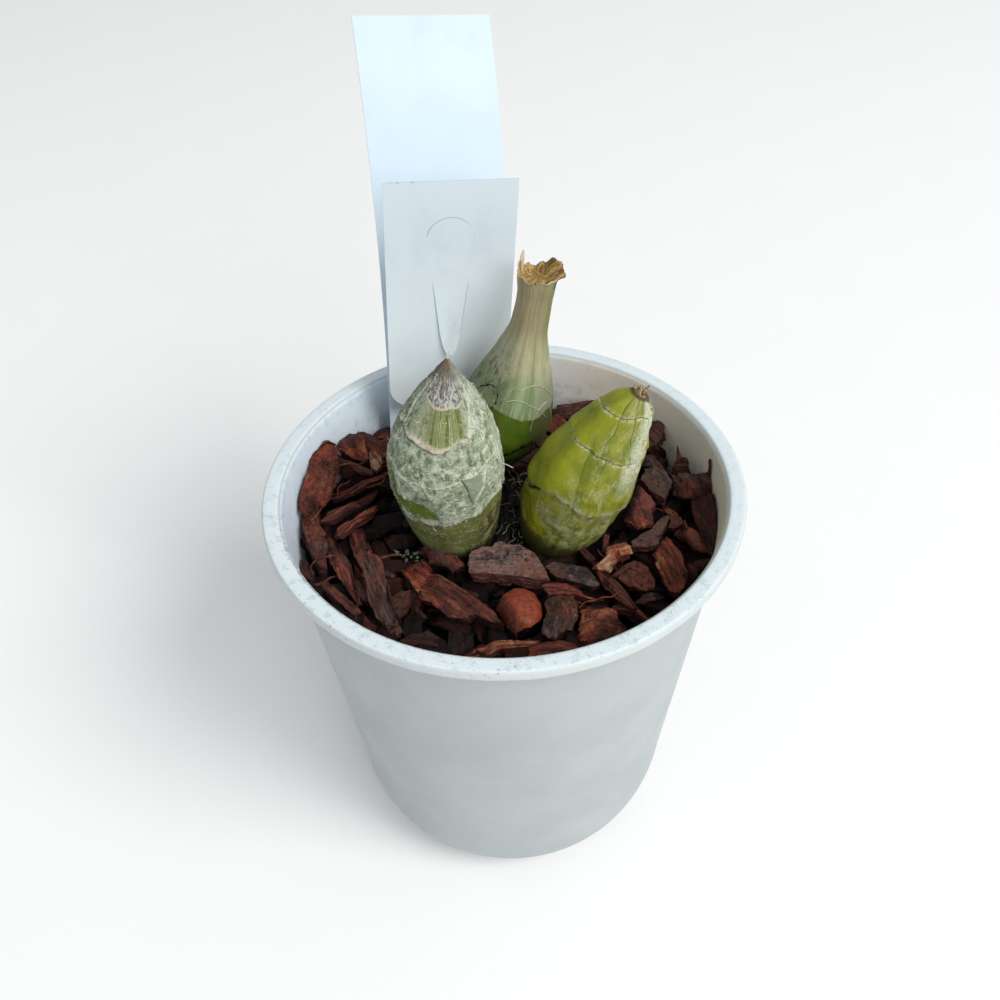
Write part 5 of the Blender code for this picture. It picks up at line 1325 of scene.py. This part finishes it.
def neckEdge(degrees):
    # How high the torn neck's edge rises above its last ring, and how far it flares out.
    def bump(middle, width):
        return np.exp(-(((degrees - middle + 180) % 360 - 180) / width) ** 2)

    lift = roundCurve(backBulb["neck"], degrees)
    tall = 4.2 * bump(-112, 10) + 1.2 * bump(-94, 12)
    teeth = 0.25 * np.sin(np.radians(7 * degrees) + 0.8) + 0.22 * np.sin(np.radians(13 * degrees))
    flare = 1.5 * bump(88, 30) + 0.7 * bump(150, 40) + 0.6 * bump(-60, 40)
    return lift + tall + teeth, flare


def backBulbPatch():
    # Radius by height, then up the torn edge, over it, and over the rough stub inside the neck.
    share, degrees = bulbGrid(backBulb)
    grain = bulbGrain(share, degrees)
    band = ringGap(backBulb, "bandTop", share, degrees)
    bright = ringGap(backBulb, "brightTop", share, degrees)
    radius = monotoneCurve(backBulb["profile"], share)
    fade = smoothStep(share, 0, 0.3)
    folds = roughNoise(grain * (1, 1, 0.1), 4.2, 61, 2)
    dry = smoothStep(band, -3, 3)
    radius += (0.06 + 0.07 * dry) * folds * fade + 0.14 * smoothStep(bright, -0.25, 0.25)
    radius += 0.05 * roughNoise(grain, (0.9, 0.9, 3), 65, 2) * dry
    # A raised fold up the right of the neck.
    foldHeight = smoothStep(share, 0.63, 0.7) * smoothStep(share, 0.99, 0.9)
    radius += 0.55 * ridge(degrees - 64, 12) * foldHeight
    body = bulbPlace(backBulb, share, degrees, radius)
    along = bulbAxes(backBulb)[2]
    turns = degrees[:1]
    rise, flare = neckEdge(turns)
    lastShare = backBulb["profile"][-1][0]
    lastRadius = radius[-1:]
    crinkle = roughNoise(bulbGrain(turns * 0, turns), 1.3, 71, 3)
    # Up the outside to the edge: height grows as u and the flare as u squared.
    up = np.linspace(0, 1, 12)[1:, None]
    outside = bulbPlace(backBulb, lastShare + 0 * up * turns, turns + 0 * up,
                        lastRadius + flare * up ** 2 + 0.25 * crinkle * up)
    outside = outside + along * (up * (rise + 0.25 * crinkle))[..., None]
    # Over the inside: from the edge to the stub's middle, sinking a little and lumpy.
    down = np.linspace(0, 1, 26)[1:, None]
    rimRadius = lastRadius + flare + 0.25 * crinkle - 0.3
    narrowing = np.maximum(1 - down ** 1.2, 0.06)
    lumps = roughNoise(around(narrowing, np.radians(turns)) * 6, 2.4, 77, 3)
    inside = bulbPlace(backBulb, lastShare + 0 * down * turns, turns + 0 * down, rimRadius * narrowing)
    filled = np.exp(-((turns - 95) / 55) ** 2)
    level = smoothStep(down, 0.1 * filled, 0.34 + 0.55 * filled)
    drop = (rise + 0.25 * crinkle + 0.9 * filled) * (1 - level)
    drop = drop - 0.9 * filled * smoothStep(down, 0.1, 0)
    drop = drop - backBulb["sink"] * smoothStep(down, 0, 0.3) * (1 - filled)
    drop += (0.9 - 0.3 * filled) * lumps * smoothStep(down, 0.05, 0.35)
    inside = inside + along * drop[..., None]
    grid = np.concatenate([body, outside, inside])

    def joined(*values):
        # One value for each of the three stretches, spread over its rows.
        return np.concatenate([np.broadcast_to(value, part.shape[:2])
                               for value, part in zip(values, (body, outside, inside))])

    height = joined(share, lastShare + 0.03 * up, 1.03)
    allDegrees = joined(degrees, turns, turns)
    grain = bulbGrain(height, allDegrees)
    grain[len(share):, :, 2] += np.concatenate([up * 3, 3 + down * 9])
    sliver = smoothStep(rise, 2.4, 3.6) * (turns < 0)
    cut = joined(0, up ** 3 * 0.35, smoothStep(down, 0, 0.07))
    edge = joined(0, np.maximum(up ** 8, sliver * smoothStep(up, 0.1, 0.5)),
                  np.maximum(smoothStep(down, 0.06, 0.01), sliver * smoothStep(down, 0.36, 0.16)))
    band, bright = (joined(gap, gap[-1:], gap[-1:]) for gap in (band, bright))
    return gridPatch(grid, grain=grain, height=height, cut=cut, edge=edge, degrees=allDegrees, band=band,
                     bright=bright)


def backBulbMaterial():
    # Papery beige-olive with soft streaks and specks, a grey-green band, bright green low down, and a
    # cut neck of brown and olive fibres.
    material, start = newMaterial("backBulbSheath")
    grain, height, degrees = readFields(start, "grain height degrees")
    cut, edge, band, bright = readFields(start, "cut edge band bright")
    left = between(degrees, 4, -42)
    right = between(degrees, 18, 44)
    streaks = noise(grain, (0.42, 0.42, 0.04), 3, 0.55, 0.4)
    fineStreaks = noise(grain, (2, 2, 0.1), 4, 0.65)
    blotch = noise(grain, 0.17, 5, 0.65)
    fine = noise(grain, 1.4, 5, 0.7)
    streaky = between(streaks, 0.46, 0.56)
    paler = between(streaks + 0.6 * (blotch - 0.5), 0.32, 0.66)
    beige = Coat(paint((0.235, 0.235, 0.12), (0.365, 0.35, 0.215), paler))
    beige((0.255, 0.255, 0.185), left * between(height, 0.86, 0.62) * 0.75)
    beige((0.42, 0.41, 0.28), between(fineStreaks, 0.54, 0.66) * streaky * 0.35)
    beige((0.17, 0.165, 0.07), between(fineStreaks, 0.44, 0.34) * 0.22)
    paler = between(streaks + 0.3 * (blotch - 0.5), 0.3, 0.68)
    neck = Coat(paint((0.225, 0.185, 0.098), (0.305, 0.255, 0.148), paler))
    neck((0.165, 0.17, 0.06), between(degrees, 14, 30) * streaky * 0.6)
    neck((0.135, 0.145, 0.04), between(degrees, 38, 54) * 0.8)
    beige(neck, between(height, 0.64, 0.82) * 0.85)
    paler = between(streaks + 0.3 * (fineStreaks - 0.5), 0.36, 0.64)
    lowBand = Coat(paint((0.145, 0.205, 0.085), (0.245, 0.305, 0.165), paler))
    dashes = between(bright, 4.5, 0.6) * between(fineStreaks, 0.52, 0.6)
    lowBand((0.36, 0.38, 0.26), dashes * 0.5)
    dark = between(bright, 4, 0.6) * between(fineStreaks, 0.46, 0.38)
    lowBand((0.085, 0.11, 0.04), dark * 0.5)
    lowBand((0.21, 0.21, 0.14), right * 0.6)
    blend = between(band + 3 * (streaks - 0.5) + 4 * (blotch - 0.5), 5, -2)
    coat = Coat(paint(beige, lowBand, blend))
    coat((0.13, 0.145, 0.085), left * between(height, 0.62, 0.5) * 0.65)
    green = Coat(paint((0.055, 0.1, 0.005), (0.1, 0.15, 0.01), between(blotch, 0.35, 0.65)))
    green((0.07, 0.075, 0.018), left * 0.85)
    green((0.09, 0.085, 0.04), right * 0.8)
    coat(green, between(bright + 1 * (fineStreaks - 0.5), 0.2, -0.2))
    specks = between(noise(grain, 1.5, 3, 0.6), 0.63, 0.69) * between(blotch, 0.42, 0.56)
    coat((0.045, 0.05, 0.02), specks * (0.45 + 0.4 * left))
    grime = between(noise(grain, 0.5, 5, 0.7), 0.48, 0.6) * left * between(height, 0.72, 0.56)
    coat((0.055, 0.065, 0.028), grime * 0.75)
    paler = between(blotch + 0.5 * (fine - 0.5), 0.4, 0.6)
    fibre = Coat(paint((0.2, 0.115, 0.028), (0.46, 0.31, 0.12), paler))
    olive = between(noise(grain, 0.22, 3, 0.6), 0.54, 0.64) * between(degrees, 80, 30)
    fibre((0.24, 0.21, 0.045), olive * 0.6)
    rotten = between(noise(grain, 0.34, 4, 0.65) + 0.05 * between(degrees, 50, 95), 0.56, 0.64)
    fibre((0.075, 0.028, 0.014), rotten * 0.85)
    coat(fibre, between(cut, 0.15, 0.75))
    flared = between(degrees, 40, 80)
    coat((0.19, 0.085, 0.04), between(height, 0.99, 1.01) * (1 - cut) * flared * 0.7)
    # Painted shadow under the flared edge on the right of the neck.
    corner = between(height + 0.05 * (fine - 0.5), 0.955, 0.985) * between(degrees, 44, 62)
    coat((0.045, 0.026, 0.014), corner * (1 - cut) * between(degrees, 96, 78) * 0.8)
    lip = paint((0.56, 0.47, 0.33), (0.2, 0.085, 0.042), flared)
    coat(lip, between(edge + 0.4 * (fine - 0.5), 0.45, 0.8) * 0.85)
    # Darker towards the base: soil, and painted shade where the pseudobulb meets the bark.
    soilAndShade = between(height + 0.1 * fine, 0.27, 0.16)
    coat((0.025, 0.032, 0.008), soilAndShade * 0.8)
    relief = 0.5 * streaks + 0.4 * fineStreaks + 0.7 * fine * (0.4 + cut)
    roughness = 0.6 - 0.2 * between(bright, 0.3, -0.3) + 0.2 * cut
    return finishMaterial(material, start, coat, roughness, relief, 0.12, 0.28)


def makeBulbs():
    for name, patch, material, slot in (
            ("pseudobulb_front", frontBulbPatch, frontBulbMaterial, "bulb_grey_green"),
            ("pseudobulb_right", rightBulbPatch, rightBulbMaterial, "bulb_yellow_green"),
            ("pseudobulb_back", backBulbPatch, backBulbMaterial, "bulb_papery")):
        addPiece(name, [patch()], material(), [name])


# The dried remains of the growth tip on the right pseudobulb

calyx = {
    "scales": 6,
    "length": 1.9,
    "width": 2.0,
    "thickness": 0.16,
    "ring": 1.2,
    "height": 0.975,
    # The stubs in the middle: how far to the right, and how tall.
    "stubs": ((0.5, 3.0), (-0.6, 2.0)),
    "colours": ((0.1, 0.055, 0.03), (0.5, 0.38, 0.22)),
}


def scalePatch(origin, along, out, length, width, bend, seed):
    # A pointed scale of width w sqrt(sin(pi (0.42 + 0.58 u))), bent by bend u^2, thin and closed.
    side = np.cross(along, out)
    u = np.linspace(0, 1, 12)[:, None]
    turn = roundAngles(14)[None, :]
    half = width / 2 * np.sqrt(np.sin(math.pi * np.clip(0.42 + 0.58 * u, 0, 0.985)))
    thick = calyx["thickness"] / 2
    cupped = 0.35 * (np.cos(turn) ** 2 - 0.5) * half
    grid = (origin + along * (length * u + 0 * turn)[..., None] + side * (half * np.cos(turn))[..., None]
            + out * (bend * u ** 2 - cupped + thick * np.sin(turn))[..., None])
    grid = grid + 0.04 * roughNoise(grid + seed, 0.8, seed, 2)[..., None] * out
    return gridPatch(grid)


def dryMaterial(name, dark, pale, roughness=0.75, specular=0.3):
    # Two colours blended by fine upright fibres.
    material, start = newMaterial(name)
    place = objectPlace(start)
    fibres = noise(place, (3, 3, 0.8), 4, 0.65)
    colour = paint(dark, pale, between(fibres, 0.36, 0.64))
    return finishMaterial(material, start, colour, roughness, fibres, 0.1, specular)


def makeCalyx():
    # Scales in a ring that leans out round the tip, with two stubs in the middle.
    base, span, along, front, right = bulbAxes(rightBulb)
    top = base + span * calyx["height"]
    rng = np.random.default_rng(5)
    patches = []
    for index in range(calyx["scales"]):
        angle = math.tau * index / calyx["scales"] + rng.uniform(-0.3, 0.3)
        out = front * math.cos(angle) + right * math.sin(angle)
        lean = unit(along * 0.72 + out * rng.uniform(0.35, 0.9))
        flat = unit(out - lean * out.dot(lean))
        patches.append(scalePatch(top + out * calyx["ring"], lean, flat,
                                  calyx["length"] * rng.uniform(0.45, 1.05),
                                  calyx["width"] * rng.uniform(0.7, 1.1), rng.uniform(-0.5, 0.5), index))
    for side, height in calyx["stubs"]:
        start = top + right * side
        path = smoothPath([start, start + along * height * 0.6 + right * 0.2, start + along * height
                           + right * 0.7 * side], 8)
        patches.append(tubePatch(path, np.linspace(0.55, 0.22, 8), 7))
    addPiece("dry_calyx", patches, dryMaterial("dryScale", *calyx["colours"]))


# Rhizome, roots and hairs

roots = {
    "centre": (0.2, 7.0, 98.5),
    "radii": (8.8, 16.0, 8.5),
    "count": 44,
    "radius": (0.4, 0.95),
    "crown": (103.6, 107.2),
    "spread": (9.0, 17.5),
    "wellCentre": (0.6, 4.5),
    "wellHeight": 100.5,
    # Near black: the roots' own dark, and painted shade of the deep gap between the pseudobulbs.
    "colours": ((0.002, 0.0018, 0.0015), (0.016, 0.014, 0.011)),
    "hairs": 60,
    "hairRadius": 0.042,
}


def rhizomePatch():
    # An ellipsoid roughened by knobs, which the roots leave.
    rise = np.linspace(-math.pi / 2 + 0.02, math.pi / 2 - 0.02, 60)[:, None]
    turn = roundAngles(90)[None, :]
    ball = around(np.cos(rise), turn, np.sin(rise))
    knobs = 1 + 0.1 * roughNoise(ball * 10, 3.4, 81, 3)
    return gridPatch(np.array(roots["centre"]) + ball * knobs[..., None] * roots["radii"])


def rootPatches():
    # Each root leaves the rhizome, arches over its crown and dives into the bark, wandering as it goes.
    rng = np.random.default_rng(8)
    low = roots["wellHeight"]
    patches = []
    for index in range(roots["count"]):
        heading = math.radians(index * goldenAngle)
        reach = rng.uniform(0.55, 1)
        crown = rng.uniform(*roots["crown"])
        sway = rng.uniform(-1.1, 1.1)
        part = np.linspace(0, 1, 8)
        angle = heading + sway * part + 0.3 * np.sin(7 * part + index)
        spread = 0.12 + reach * part
        x = roots["wellCentre"][0] + roots["spread"][0] * spread * np.cos(angle)
        y = roots["wellCentre"][1] + roots["spread"][1] * spread * np.sin(angle)
        z = low + (crown - low) * np.sin(math.pi * np.minimum(1, 0.25 + part)) - 4 * part ** 3
        path = smoothPath(np.stack([x, y, z], -1), 40)
        path = path + 0.25 * np.stack([softNoise(path + 9 * axis, 1.6, 83 + axis) for axis in range(3)], -1)
        radii = rng.uniform(*roots["radius"]) * (1 + 0.15 * softNoise(path, 1.2, 88))
        patches.append(tubePatch(path, radii, 9))
    return patches


def curl(start, heading, length, lift, rng, points=5):
    # The path of a hair or a strand: a walk whose heading turns by chance, rising and falling by its lift.
    path = [np.array(start, float)]
    for step in range(points):
        heading = heading + rng.uniform(-0.7, 0.7)
        move = np.array([math.cos(heading), math.sin(heading), 0]) * length / points
        rise = lift / points * math.cos(math.pi * step / points)
        move[2] = rise + rng.uniform(-0.12, 0.12) * length / points
        path.append(path[-1] + move)
    return smoothPath(path, 14)


def onBulb(bulb, knots, lift):
    # A path given by angles and shares on a pseudobulb, lifted off its surface.
    degrees, share = np.array(knots, float).T
    return bulbPlace(bulb, share, degrees, monotoneCurve(bulb["profile"], share) + lift)


hairs = {
    # White root hairs that lie over the back pseudobulb: angle and share of each point.
    "over": [
        [(-15, 0.48), (-4, 0.495), (9, 0.493), (22, 0.476), (35, 0.454), (52, 0.403)],
        [(1, 0.536), (13, 0.555), (29, 0.56), (46, 0.539), (63, 0.495), (78, 0.447)],
        [(-15, 0.503), (-12, 0.533), (-6, 0.549)],
        [(48, 0.477), (38, 0.468), (32, 0.446), (27, 0.405), (26, 0.359)],
        [(35, 0.454), (46, 0.469), (54, 0.47), (62, 0.425), (72, 0.344)],
    ],
    # Thin dark roots: the same, and how thick each is.
    "dark": [
        ([(-60, 0.478), (-48, 0.512), (-36, 0.516), (-27, 0.478), (-30, 0.43), (-40, 0.4)], 0.17),
        ([(-8, 0.185), (4, 0.222), (16, 0.262), (28, 0.296), (38, 0.3), (44, 0.268)], 0.26),
        ([(4, 0.15), (18, 0.196), (32, 0.215), (46, 0.24), (58, 0.225)], 0.2),
    ],
    # A dark loop that stands up by the pot's left wall.
    "loop": [(-45.6, 25.0, 113.8), (-47.4, 24.0, 115.6), (-49.2, 21.6, 115.2), (-49.4, 20.4, 112.0)],
    "loopRadius": 0.22,
    "radius": 0.11,
    "tuftBase": (4.3, 7.0, 104.6),
    "tuftReach": (3.4, 13.0),
    "fuzz": 150,
    "fuzzLength": (0.7, 2.2),
    "colours": ((0.3, 0.31, 0.24), (0.62, 0.66, 0.52)),
    "fuzzColours": ((0.38, 0.36, 0.27), (0.68, 0.68, 0.58)),
}


def makeRoots():
    # The roots' near black is their own dark and painted shade of the gap between the pseudobulbs.
    dark = dryMaterial("rootDarkAndGapShade", *roots["colours"], 0.38, 0.12)
    extra = []
    for knots, radius in hairs["dark"]:
        loop = smoothPath(onBulb(backBulb, knots, 0.1 + radius), 60)
        loop = loop + 0.3 * np.stack([roughNoise(loop + 9 * axis, 0.9, 93, 2) for axis in range(3)], -1)
        extra.append(tubePatch(loop, radius * np.maximum(0.9 + 1.1 * softNoise(loop, 0.8, 94), 0.25), 6))
    extra.append(tubePatch(smoothPath(hairs["loop"], 30), hairs["loopRadius"], 7))
    addPiece("rhizome_and_roots", [rhizomePatch()] + rootPatches() + extra, dark,
             ["rhizome_and_roots"])
    rng = np.random.default_rng(12)
    pale = []
    for _, angle, spread in sunflower(roots["hairs"]):
        x = hairs["tuftBase"][0] + hairs["tuftReach"][0] * spread * math.cos(angle)
        y = hairs["tuftBase"][1] + hairs["tuftReach"][1] * spread * math.sin(angle)
        start = (x, y, hairs["tuftBase"][2] + rng.uniform(-1, 1.6))
        path = curl(start, rng.uniform(0, math.tau), rng.uniform(3, 8.5), rng.uniform(0.5, 3), rng)
        pale.append(tubePatch(path, roots["hairRadius"] * rng.uniform(0.7, 1.5), 4))
    for knots in hairs["over"]:
        pale.append(tubePatch(smoothPath(onBulb(backBulb, knots, 0.3), 40),
                              np.linspace(hairs["radius"], hairs["radius"] * 0.5, 40), 6))
    addPiece("root_hairs", pale, dryMaterial("rootHair", *hairs["colours"]))


def makeFuzz():
    # Short papery fibres that stand off the front pseudobulb, most of them along its torn rings.
    rng = np.random.default_rng(21)
    along, right = bulbAxes(frontBulb)[2::2]
    patches = []
    for index in range(hairs["fuzz"]):
        degrees = rng.uniform(-180, 180)
        ring = ("arc", "paleRing", "flakyRing", "capEdge")[rng.integers(4)]
        share = roundCurve(frontBulb[ring], degrees) if index % 3 else rng.uniform(0.3, 0.95)
        share = share + rng.normal(0, 0.012)
        start = bulbPlace(frontBulb, share, degrees, monotoneCurve(frontBulb["profile"], share))
        out = unit(start - bulbPlace(frontBulb, share, degrees, 0))
        sideways = np.cross(along, out) * rng.uniform(-1, 1) + along * rng.uniform(-0.8, 0.8)
        length = rng.uniform(*hairs["fuzzLength"])
        path = smoothPath([start - out * 0.3, start + out * 0.35 * length + sideways * 0.2 * length,
                           start + out * 0.45 * length + sideways * 0.8 * length], 8)
        patches.append(tubePatch(path, np.linspace(0.11, 0.03, 8), 4))
    # One long fibre off the right side, and the point that the cap is drawn to.
    place = bulbPlace(frontBulb, 0.475, 72, 13)
    patches.append(tubePatch(smoothPath([place - right * 0.5, place + right * 1.6 + along * 0.5,
                                         place + right * 3.9 - along * 0.9], 12), 0.11, 5))
    tip = np.array(frontBulb["tip"])
    point = [tip - along * 1.6, tip + along * 0.7 + right * 0.1, tip + along * 2.2 + right * 0.6]
    patches.append(tubePatch(smoothPath(point, 10), np.linspace(0.42, 0.07, 10), 7))
    addPiece("bulb_fibres", patches, dryMaterial("paperyFibre", *hairs["fuzzColours"]))


moss = {
    "centre": (-24.4, -9.6, 104.6),
    "flecks": 11,
    "reach": (3.4, 2.4),
    "colours": ((0.03, 0.04, 0.018), (0.13, 0.155, 0.09)),
}


def makeMoss():
    # Small pale green flecks in the dark gap beside the front pseudobulb.
    rng = np.random.default_rng(31)
    patches = []
    for index, angle, spread in sunflower(moss["flecks"]):
        across, deep = (reach * spread for reach in moss["reach"])
        origin = np.array(moss["centre"]) + (across * math.cos(angle), deep * math.sin(angle),
                                             rng.uniform(-0.3, 0.9))
        heading = rng.uniform(0, math.tau)
        along = unit(np.array((math.cos(heading), math.sin(heading), rng.uniform(-0.3, 0.5))))
        up = unit(np.array((0, 0, 1)) - along * along[2])
        patches.append(scalePatch(origin, along, up, rng.uniform(0.9, 2), rng.uniform(0.6, 1.2),
                                  rng.uniform(-0.3, 0.5), index + 50))
    addPiece("moss_flecks", patches, dryMaterial("moss", *moss["colours"]))


# Labels, each a sheet on the point of its stake. A place on one is how far across and how far up it is.

frontLabel = {
    "foot": (-18.15, 36.1, 67.9),
    "length": 115.0,
    "width": 32.7,
    "yaw": 9.5,
    "lean": 4.4,
    "stakeWidth": 11.0,
    "stakePoint": 12.0,
    "stakeTip": 1.8,
    "shoulderHeight": 50.0,
    "shoulderRadius": 6.5,
    "shoulderDrop": 6.0,
    "tongueHead": 15.35,
    "headRadius": 6.2,
    "tongueHinge": 27.0,
    "tongueTip": 48.0,
    "tongueLift": 1.7,
    "slit": 0.3,
    "arcSlit": 0.14,
    "tongueTipRadius": 2.64,
    "tongueHollow": 1.2,
    # Small wedges out of its edges: across, up and how large.
    "nicks": [(-12.8, 115.05, 0.5), (-9.2, 115.1, 0.55), (16.4, 110.0, 0.35), (-14.35, 115.1, 0.35)],
    "colour": (0.545, 0.62, 0.665),
    # Low down the sheet is painted lighter, as painted light through the plastic where it lies in shade.
    "lowLitColour": (0.88, 0.96, 0.99),
}
tallLabel = {
    "foot": (-17.05, 37.9, 75.0),
    "length": 141.0,
    "width": 36.2,
    "yaw": 16.4,
    "lean": 6.2,
    "bendRadius": 212.0,
    "point": 16.0,
    "tipWidth": 2.4,
    "colour": (0.5, 0.6, 0.685),
    # Low down the sheet is painted lighter, as painted light through the plastic where it lies in shade.
    "lowLitColour": (0.8, 0.9, 0.96),
}
sheet = {
    "thickness": 0.42,
    "weld": 0.02,
    "edgeAngle": 40.0,
    "scuff": (0.52, 0.53, 0.5),
}


def labelPlace(label, across, height, depth):
    # Across, up and back along the label's own axes. A bent label's sheet follows an arc backwards.
    yaw = math.radians(label["yaw"])
    lean = math.radians(label["lean"])
    side = np.array((math.cos(yaw), math.sin(yaw), 0))
    back = np.array((-math.sin(yaw), math.cos(yaw), 0))
    up = np.array((0, 0, 1))
    leanedSide = side * math.cos(lean) - up * math.sin(lean)
    leanedUp = side * math.sin(lean) + up * math.cos(lean)
    risen = height
    gone = depth
    if "bendRadius" in label:
        bend = label["bendRadius"]
        angle = height / bend
        risen = (bend - depth) * np.sin(angle)
        gone = bend - (bend - depth) * np.cos(angle)
    return (np.array(label["foot"]) + leanedSide * across[..., None] + leanedUp * risen[..., None]
            + back * gone[..., None])


def frontHalfWidth(height):
    # Half the front label's width: a pointed stake, a quarter-round shoulder, then straight sides.
    half = frontLabel["width"] / 2
    stake = frontLabel["stakeWidth"] / 2
    radius = frontLabel["shoulderRadius"]
    corner = half - radius * (1 - np.sin(np.linspace(0, math.pi / 2, 9)))
    cornerHeight = frontLabel["shoulderHeight"] + radius * (1 - np.cos(np.linspace(0, math.pi / 2, 9)))
    heights = np.concatenate([[0, frontLabel["stakePoint"],
                               frontLabel["shoulderHeight"] - frontLabel["shoulderDrop"]], cornerHeight])
    widths = np.concatenate([[frontLabel["stakeTip"] / 2, stake, stake], corner])
    return np.interp(height, heights, widths)


def tongueHalfWidth(below):
    # Half the tongue's width: straight from head to tip less a hollow of t(1 - t), with a round tip.
    share = (below - frontLabel["tongueHead"]) / (frontLabel["tongueTip"] - frontLabel["tongueHead"])
    straight = frontLabel["headRadius"] * (1 - share) + frontLabel["tongueTipRadius"] * share
    hollowed = straight - frontLabel["tongueHollow"] * share * (1 - share)
    return hollowed * np.sqrt(np.clip(1 - share ** 9, 0, 1))


def stripPatch(left, right, height, columns, depth=None):
    # A strip of sheet between two edges given at each height.
    share = np.linspace(0, 1, columns)[None, :]
    across = left[:, None] + (right - left)[:, None] * share
    rows = height[:, None] + 0 * share
    away = 0 * rows if depth is None else depth[:, None] + 0 * share
    return gridPatch(labelPlace(frontLabel, across, rows, away), wrapped=False, closed=False)


def frontLabelPatches():
    # Strips that share their edges: two below the tongue, one each side of it, three above, and itself.
    length = frontLabel["length"]
    tipHeight = length - frontLabel["tongueTip"]
    hingeHeight = length - frontLabel["tongueHinge"]
    low = np.concatenate([np.linspace(0, 44, 12), np.linspace(44, 57, 14)[1:],
                          np.linspace(57, tipHeight, 6)[1:]])
    middle = np.linspace(tipHeight, hingeHeight, 60)
    high = np.linspace(hingeHeight, length, 30)
    opening = tongueHalfWidth(length - middle)
    run = (hingeHeight - middle) / (hingeHeight - tipHeight)
    tongueHalf = np.maximum(opening - frontLabel["slit"] * np.sin(math.pi * run) ** 0.3, 0)
    halfLow, halfMiddle, halfHigh = (frontHalfWidth(rows) for rows in (low, middle, high))
    hinge = np.full(len(high), opening[-1])
    lifted = -frontLabel["tongueLift"] * run ** 1.6
    return [
        stripPatch(-halfLow, 0 * low, low, 9), stripPatch(0 * low, halfLow, low, 9),
        stripPatch(-halfMiddle, -opening, middle, 9), stripPatch(opening, halfMiddle, middle, 9),
        stripPatch(-halfHigh, -hinge, high, 9), stripPatch(-hinge, hinge, high, 13),
        stripPatch(hinge, halfHigh, high, 9),
        stripPatch(-tongueHalf[1:], tongueHalf[1:], middle[1:], 13, lifted[1:]),
    ]


def arcSlitPatch():
    # A thin square section carried round the arc over the tongue's head.
    angle = np.radians(np.linspace(14, 166, 30))[:, None]
    out = np.array((-0.5, 0.5, 0.5, -0.5))[None, :] * frontLabel["arcSlit"]
    depth = np.array((-2, -2, 2, 2))[None, :] + 0 * angle
    reach = frontLabel["headRadius"] + out
    centre = frontLabel["length"] - frontLabel["tongueHead"]
    return gridPatch(labelPlace(frontLabel, reach * np.cos(angle), centre + reach * np.sin(angle), depth))


def labelMaterial(name, label):
    # Smooth plastic sheet, painted lighter low down as painted light through the plastic where it lies in
    # shade, with faint clouds and the odd scuff.
    material, start = newMaterial(name)
    place = objectPlace(start)
    upward = start.node("ShaderNodeSeparateXYZ", None, {0: place}, output=2)
    cloud = noise(place, 0.035, 3, 0.5)
    smudge = noise(place, (0.1, 0.1, 0.05), 4, 0.65)
    fine = noise(place, 0.9, 3, 0.6)
    # Painted light: lighter low down, where the sheet lies in shade.
    tinted = Coat(paint(label["lowLitColour"], label["colour"], between(upward, 128, 176)))
    clouded = between(cloud, 0.35, 0.65) * 0.25 + between(smudge, 0.55, 0.72) * 0.35
    tinted(darker(label["colour"], 0.9), clouded)
    tinted(sheet["scuff"], between(fine, 0.74, 0.8) * 0.3)
    roughness = 0.34 + 0.22 * smudge
    return finishMaterial(material, start, tinted, roughness, cloud + 0.1 * fine, 0.05, 0.4)


def thicken(piece):
    # Edges that strips share are merged, then both faces move half the thickness from the sheet.
    weld = piece.modifiers.new("weld", "WELD")
    weld.merge_threshold = sheet["weld"] / metre
    solidify = piece.modifiers.new("thickness", "SOLIDIFY")
    solidify.thickness = sheet["thickness"] / metre
    solidify.offset = 0
    applyModifiers(piece)
    piece.data.set_sharp_from_angle(angle=math.radians(sheet["edgeAngle"]))


def nickPatches():
    # Six-sided cutters right through the sheet.
    patches = []
    for across, height, size in frontLabel["nicks"]:
        turn = roundAngles(6)[None, :]
        depth = np.array((-2, 2))[:, None] + 0 * turn
        grid = labelPlace(frontLabel, across + size * np.cos(turn) * 0.9 + 0 * depth,
                          height + size * 0.55 * np.sin(turn) + 0 * depth, depth)
        patches.append(gridPatch(grid))
    return patches


def makeLabels():
    front = addPiece("label_front", frontLabelPatches(), labelMaterial("labelGrey", frontLabel),
                     ["label_front"])
    thicken(front)
    cutPiece(front, [arcSlitPatch()] + nickPatches())
    height = np.concatenate([np.linspace(0, tallLabel["point"], 6),
                             np.linspace(tallLabel["point"], tallLabel["length"], 60)[1:]])
    half = np.interp(height, [0, tallLabel["point"]], [tallLabel["tipWidth"] / 2, tallLabel["width"] / 2])
    share = np.linspace(-1, 1, 15)[None, :]
    across = half[:, None] * share
    rows = height[:, None] + 0 * share
    wave = 0.12 * softNoise(np.stack([across, rows, 0 * rows], -1), 22, 91)
    grid = labelPlace(tallLabel, across, rows, wave)
    tall = addPiece("label_tall", [gridPatch(grid, wrapped=False, closed=False)],
                    labelMaterial("labelBlueWhite", tallLabel), ["label_tall"])
    thicken(tall)


addCamera()
addLight()
addFloor()
print("stage ready")
makePot()
makeBark()
makeBulbs()
makeCalyx()
makeRoots()
makeFuzz()
makeMoss()
makeLabels()
